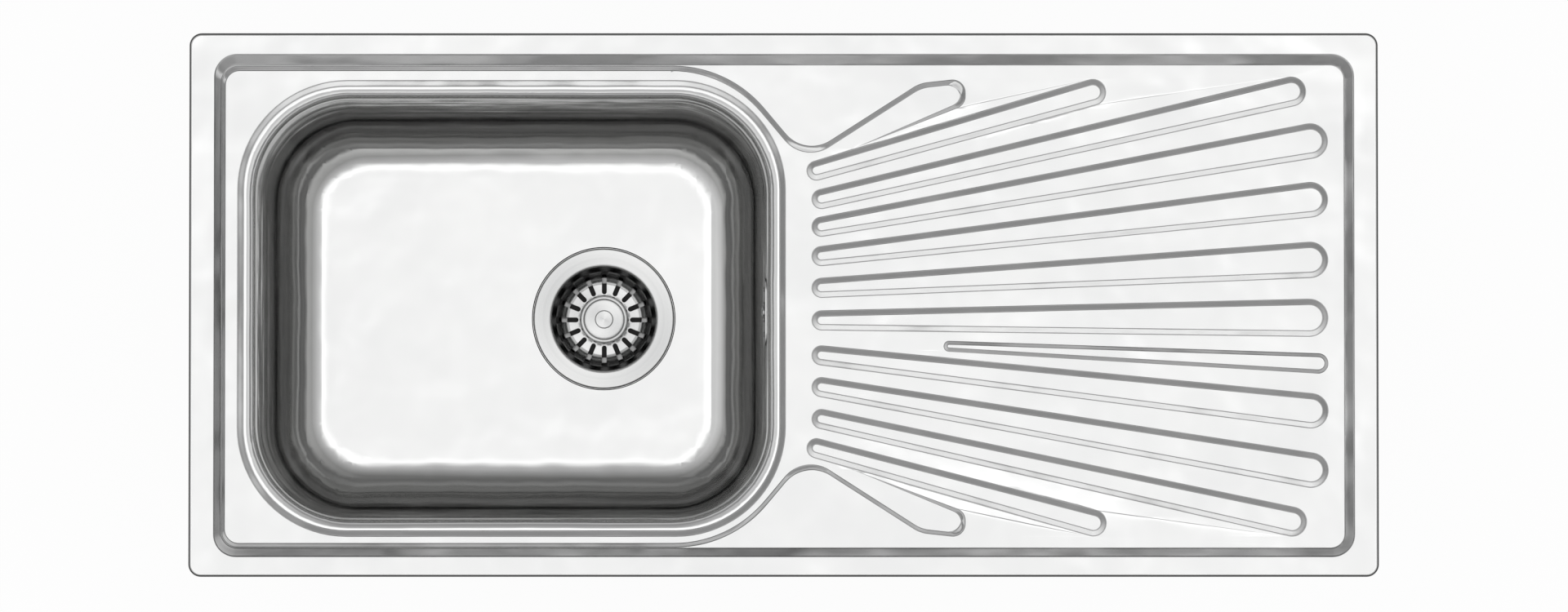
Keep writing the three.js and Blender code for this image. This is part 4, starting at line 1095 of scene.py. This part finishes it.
def make_stem():
    """The stem with its mushroom head, down to the stopper."""
    low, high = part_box("basket_stem")
    head = high.z - STEM_HEAD_HEIGHT
    profile = [
        (0, low.z), (0.0036, low.z), (0.004, low.z + 0.0004), (0.004, head),
        (STEM_HEAD_RADIUS - 0.0003, head), (STEM_HEAD_RADIUS, head + 0.0003),
        *arc((STEM_HEAD_RADIUS - 0.0011, high.z - 0.0011), 0.0011, 0, 90, 5), (0, high.z),
    ]
    new_piece(
        lathe(profile, 48, closed=False), "stem", STRAINER_STEEL, ["basket_stem"], "basket",
    )


def make_rings():
    """The rubber seal under the flange and the washer below the floor."""
    for node, name in (("flange_seal", "flange_ring"), ("under_gasket", "washer")):
        low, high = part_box(node)
        inner = {"flange_seal": 0.045, "under_gasket": 0.0465}[node]
        outer = (high.x - low.x) / 2
        soft = 0.3 * min(high.z - low.z, 0.002)
        new_piece(lathe(ring_profile(inner, outer, low.z, high.z, soft), 80), name, RUBBER, [node])


def make_stopper():
    """The rubber disc under the basket with a thin sealing lip."""
    low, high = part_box("basket_stopper")
    disc = low.z + 0.005
    profile = [
        (STEM_HOLE, low.z), (0.0296, low.z), *arc((0.0293, low.z + 0.0007), 0.0007, -60, 60, 4),
        (0.0272, low.z + 0.0016), (0.0268, low.z + 0.0024), (0.0290, low.z + 0.0034),
        *arc((0.0293, disc - 0.0007), 0.0007, -60, 90, 5), (0.0105, disc), (0.0092, disc + 0.0004),
        (0.009, high.z - 0.0006), (0.0084, high.z), (STEM_HOLE, high.z),
    ]
    new_piece(lathe(profile, 72), "stopper", RUBBER, ["basket_stopper"], "basket")


make_cup()
make_basket()
make_knob()
make_stem()
make_rings()
make_stopper()


# ---- The overflow, its hose and the nuts ----


def make_plate():
    """The slotted plate over the overflow."""
    slots = []
    for i in range(4):
        middle = Vector(((i - 1.5) * PLATE_PITCH, 0, 0))
        upright = [Vector((-p.y, p.x, 0)) for p in oblong(PLATE_HEIGHT - 0.010, PLATE_SLOT, 8)]
        slots.append([p + middle for p in upright])
    screw_hole = [Vector((x, y, 0)) for x, y in arc((0, 0), 0.0023, 0, 337.5, 15)]
    plate = slab(oblong(PLATE_LENGTH, PLATE_HEIGHT, 24), [*slots, screw_hole], SEAT, SEAT + PLATE_THICKNESS)
    bmesh.ops.transform(plate, matrix=overflow_frame(), verts=plate.verts)
    piece = new_piece(plate, "slotted_plate", PLATE_STEEL, ["overflow_plate"])
    edge = piece.modifiers.new("edge", "BEVEL")
    edge.width = 0.00025
    edge.segments = 3
    edge.limit_method = "ANGLE"


def hose_path():
    """The hose's middle line as (point, heading) pairs at an even pitch, in the plane Y = the waste's."""
    start = overflow_frame() @ Vector((0, HOSE_TOP, -HOSE_BEHIND))
    down = Vector((-math.sin(DRAFT), 0, -math.cos(DRAFT)))
    corner = start + down * ((start.z - SPIGOT_Z) / math.cos(DRAFT))
    turn = math.pi / 2 - DRAFT
    back = HOSE_BEND * math.tan(turn / 2)
    first = (corner - start).length - back
    second = HOSE_BEND * turn
    third = corner.x - back - SPIGOT_FACE_X
    centre = Vector((corner.x - back, start.y, SPIGOT_Z + HOSE_BEND))
    length = first + second + third

    def at(distance):
        if distance < first:
            return start + down * distance, down
        if distance < first + second:
            angle = -DRAFT - (distance - first) / HOSE_BEND
            spot = centre + Vector((math.cos(angle), 0, math.sin(angle))) * HOSE_BEND
            return spot, Vector((math.sin(angle), 0, -math.cos(angle)))
        return Vector((SPIGOT_FACE_X + length - distance, start.y, SPIGOT_Z)), Vector((-1, 0, 0))

    return at, length


def hose_ring(at, distance, radius, steps=28):
    spot, heading = at(distance)
    across = Vector((-heading.z, 0, heading.x))
    return [
        spot + across * radius * math.cos(2 * math.pi * k / steps)
        + Vector((0, radius * math.sin(2 * math.pi * k / steps), 0))
        for k in range(steps)
    ]


def make_hose():
    """The corrugated overflow hose between its two spigots."""
    at, length = hose_path()
    cuff = 0.022
    rings = [hose_ring(at, 0.0, HOSE_BORE), hose_ring(at, 0.0, HOSE_RADIUS), hose_ring(at, cuff, HOSE_RADIUS)]
    count = int((length - 2 * cuff) / HOSE_PITCH)
    pitch = (length - 2 * cuff) / count
    for i in range(count):
        for share, radius in ((0.12, 0.25), (0.28, 1.0), (0.5, 1.0), (0.66, 0.75), (0.8, 0.0), (0.95, 0.0)):
            grown = HOSE_ROOT + (HOSE_RADIUS - HOSE_ROOT) * radius
            rings.append(hose_ring(at, cuff + (i + share) * pitch, grown))
    rings.append(hose_ring(at, length - cuff, HOSE_RADIUS))
    rings.append(hose_ring(at, length, HOSE_RADIUS))
    rings.append(hose_ring(at, length, HOSE_BORE))
    inner = [hose_ring(at, length * (1 - k / 24), HOSE_BORE) for k in range(1, 24)]
    bm = bmesh.new()
    skin(bm, [*rings, *inner, rings[0]])
    new_piece(
        welded(bm), "corrugated_hose", PLASTIC, ["overflow_hose"],
        crease=math.radians(60),
    )


make_plate()
make_hose()


# ---- The pieces that keep the solids' own shape, with softened edges ----


def softened(node, name, material, width=0.0, body="sink"):
    """A copy of a CAD node with its doubles merged and, where a width is given, rounded edges."""
    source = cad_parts[node]
    bm = bmesh.new()
    bm.from_mesh(source.data)
    bmesh.ops.remove_doubles(bm, verts=bm.verts, dist=1e-6)
    if width:
        bmesh.ops.dissolve_limit(
            bm, angle_limit=math.radians(1.5), verts=bm.verts, edges=bm.edges, use_dissolve_boundaries=False,
        )
    piece = new_piece(bm, name, material, [node], body, crease=math.radians(34))
    if not width:
        return piece
    edge = piece.modifiers.new("edge", "BEVEL")
    edge.width = width
    edge.segments = 2
    edge.limit_method = "ANGLE"
    edge.angle_limit = math.radians(34)
    edge.harden_normals = True
    return piece


def make_fittings():
    softened("rim_seal", "seal_strip", RUBBER, 0.0006)
    softened("sound_pad", "damping_mat", MAT, 0.0006)
    softened("waste_body", "waste_housing", PLASTIC)
    softened("waste_bolt", "centre_bolt", STRAINER_STEEL, 0.0003)
    softened("overflow_screw", "plate_screw", PLATE_STEEL, 0.0002)
    softened("overflow_gasket", "plate_gasket", RUBBER, 0.0003)
    softened("overflow_housing", "overflow_box", PLASTIC, 0.0004)
    for node, name in (("hose_nut_top", "upper_nut"), ("hose_nut_waste", "lower_nut")):
        softened(node, name, PLASTIC, 0.0005)


def make_clips():
    for k in range(1, 9):
        softened(f"clip_bracket_{k}", f"bracket_{k}", ZINC, 0.0003)
        softened(f"clip_nut_{k}", f"nut_{k}", ZINC, 0.0003)
        softened(f"clip_jaw_{k}", f"jaw_plate_{k}", ZINC, 0.0004, f"jaw_{k}")
        softened(f"clip_screw_{k}", f"hex_screw_{k}", ZINC, 0.0002, f"screw_{k}")


make_fittings()
make_clips()


# ---- Floor, light and camera ----


def make_floor():
    bm = bmesh.new()
    bmesh.ops.create_grid(bm, x_segments=1, y_segments=1, size=9.0)
    bmesh.ops.translate(bm, verts=bm.verts, vec=(0, 0, FLOOR_LEVEL))
    mesh = bpy.data.meshes.new("floor")
    bm.to_mesh(mesh)
    bm.free()
    floor = bpy.data.objects.new("floor", mesh)
    scene.collection.objects.link(floor)
    material, finish = new_finish("floor")
    rays = finish.add("ShaderNodeLightPath")
    seen = (rays[0] + rays[3]).call("MINIMUM", 1.0)
    matt = finish.add("ShaderNodeBsdfDiffuse", None, {"Color": (0.8, 0.8, 0.8, 1)})[0]
    white = finish.add("ShaderNodeEmission", None, {"Color": (1, 1, 1, 1), "Strength": 1.0})[0]
    mixed = finish.add("ShaderNodeMixShader", None, [seen * 0.93, matt, white])[0]
    finish.add("ShaderNodeOutputMaterial", None, [mixed])
    mesh.materials.append(material)


def make_world():
    """A wide bright ceiling in a dim room for the steel, and plain light for all that is matt."""
    world = bpy.data.worlds.new("studio")
    world.use_nodes = True
    scene.world = world
    finish = Finish(world.node_tree)
    heading = finish.add("ShaderNodeTexCoord")[0]
    x, y, z = finish.parts(heading)
    overhead = [(0.962, 1.0), (0.986, 1.0), (0.994, 0.78), (1.0, 0.76)]
    front = finish.ramp(z, [
        (0.0, 0.10), (0.12, 0.05), (0.20, 0.06), (0.25, 0.34), (0.37, 0.26), (0.44, 0.42), (0.51, 0.30),
        (0.56, 0.14), (0.605, 0.26), (0.635, 0.92), (0.66, 0.92), (0.72, 0.62), (0.82, 0.42), (0.93, 0.42),
        *overhead,
    ])
    back = finish.ramp(z, [
        (0.0, 0.08), (0.10, 0.02), (0.20, 0.06), (0.27, 0.32), (0.36, 0.40), (0.50, 0.34), (0.57, 0.18),
        (0.62, 0.22), (0.66, 0.24), (0.72, 0.24), (0.84, 0.26), (0.92, 0.34), *overhead,
    ])
    side = finish.ramp(z, [
        (0.0, 0.04), (0.09, 0.04), (0.13, 0.40), (0.16, 0.06), (0.23, 0.32), (0.37, 0.62), (0.42, 0.10),
        (0.46, 0.10), (0.50, 0.24), (0.60, 0.12), (0.65, 0.40), (0.70, 0.70), (0.82, 0.66), (0.94, 0.60),
        *overhead,
    ])
    turn = (y * -0.85 + 0.5).limited()
    aside = x.call("ABSOLUTE") * 1.1
    along = finish.add("ShaderNodeMix", {"data_type": "RGBA"}, {0: turn, 6: back, 7: front})[2]
    level = finish.add("ShaderNodeMix", {"data_type": "RGBA"}, {0: aside, 6: along, 7: side})[2]
    under = (z * -12).limited()
    level = finish.tinted(under, level, (0.55, 0.55, 0.55))
    rays = finish.add("ShaderNodeLightPath")
    plain = (rays[0] + rays[2]).call("MINIMUM", 1.0)
    light = finish.add("ShaderNodeBackground", None, {"Color": level, "Strength": WORLD_LEVEL})[0]
    white = finish.add("ShaderNodeBackground", None, {"Color": (1, 1, 1, 1), "Strength": 1.0})[0]
    mixed = finish.add("ShaderNodeMixShader", None, [plain, light, white])[0]
    finish.add("ShaderNodeOutputWorld", None, [mixed])


def area_lamp(name, place, aim, size, power):
    data = bpy.data.lights.new(name, "AREA")
    data.shape = "RECTANGLE"
    data.size = size[0]
    data.size_y = size[1]
    data.energy = power
    lamp = bpy.data.objects.new(name, data)
    lamp.matrix_world = facing(Vector(place), Vector(aim))
    lamp.visible_glossy = False
    scene.collection.objects.link(lamp)


def facing(place, aim):
    return Matrix.Translation(place) @ (aim - place).to_track_quat("-Z", "Y").to_matrix().to_4x4()


def make_lights():
    area_lamp("ceiling_cloth", (0.0, -0.6, 2.4), (0, 0, 0), (2.2, 1.8), 5)
    area_lamp("front_window", (-0.5, -2.6, 0.9), (0, 0, 0), (2.4, 0.7), 3)


def make_camera():
    data = bpy.data.cameras.new("camera")
    data.sensor_fit = "HORIZONTAL"
    data.sensor_width = 36
    data.lens = 36 * CAMERA_DISTANCE / VIEW_WIDTH
    data.clip_end = 50
    camera = bpy.data.objects.new("camera", data)
    back = Vector((0, -math.cos(CAMERA_ELEVATION), math.sin(CAMERA_ELEVATION)))
    camera.matrix_world = facing(CAMERA_AIM + back * CAMERA_DISTANCE, CAMERA_AIM)
    scene.collection.objects.link(camera)
    scene.camera = camera


make_floor()
make_world()
make_lights()
make_camera()

bpy.context.view_layer.update()
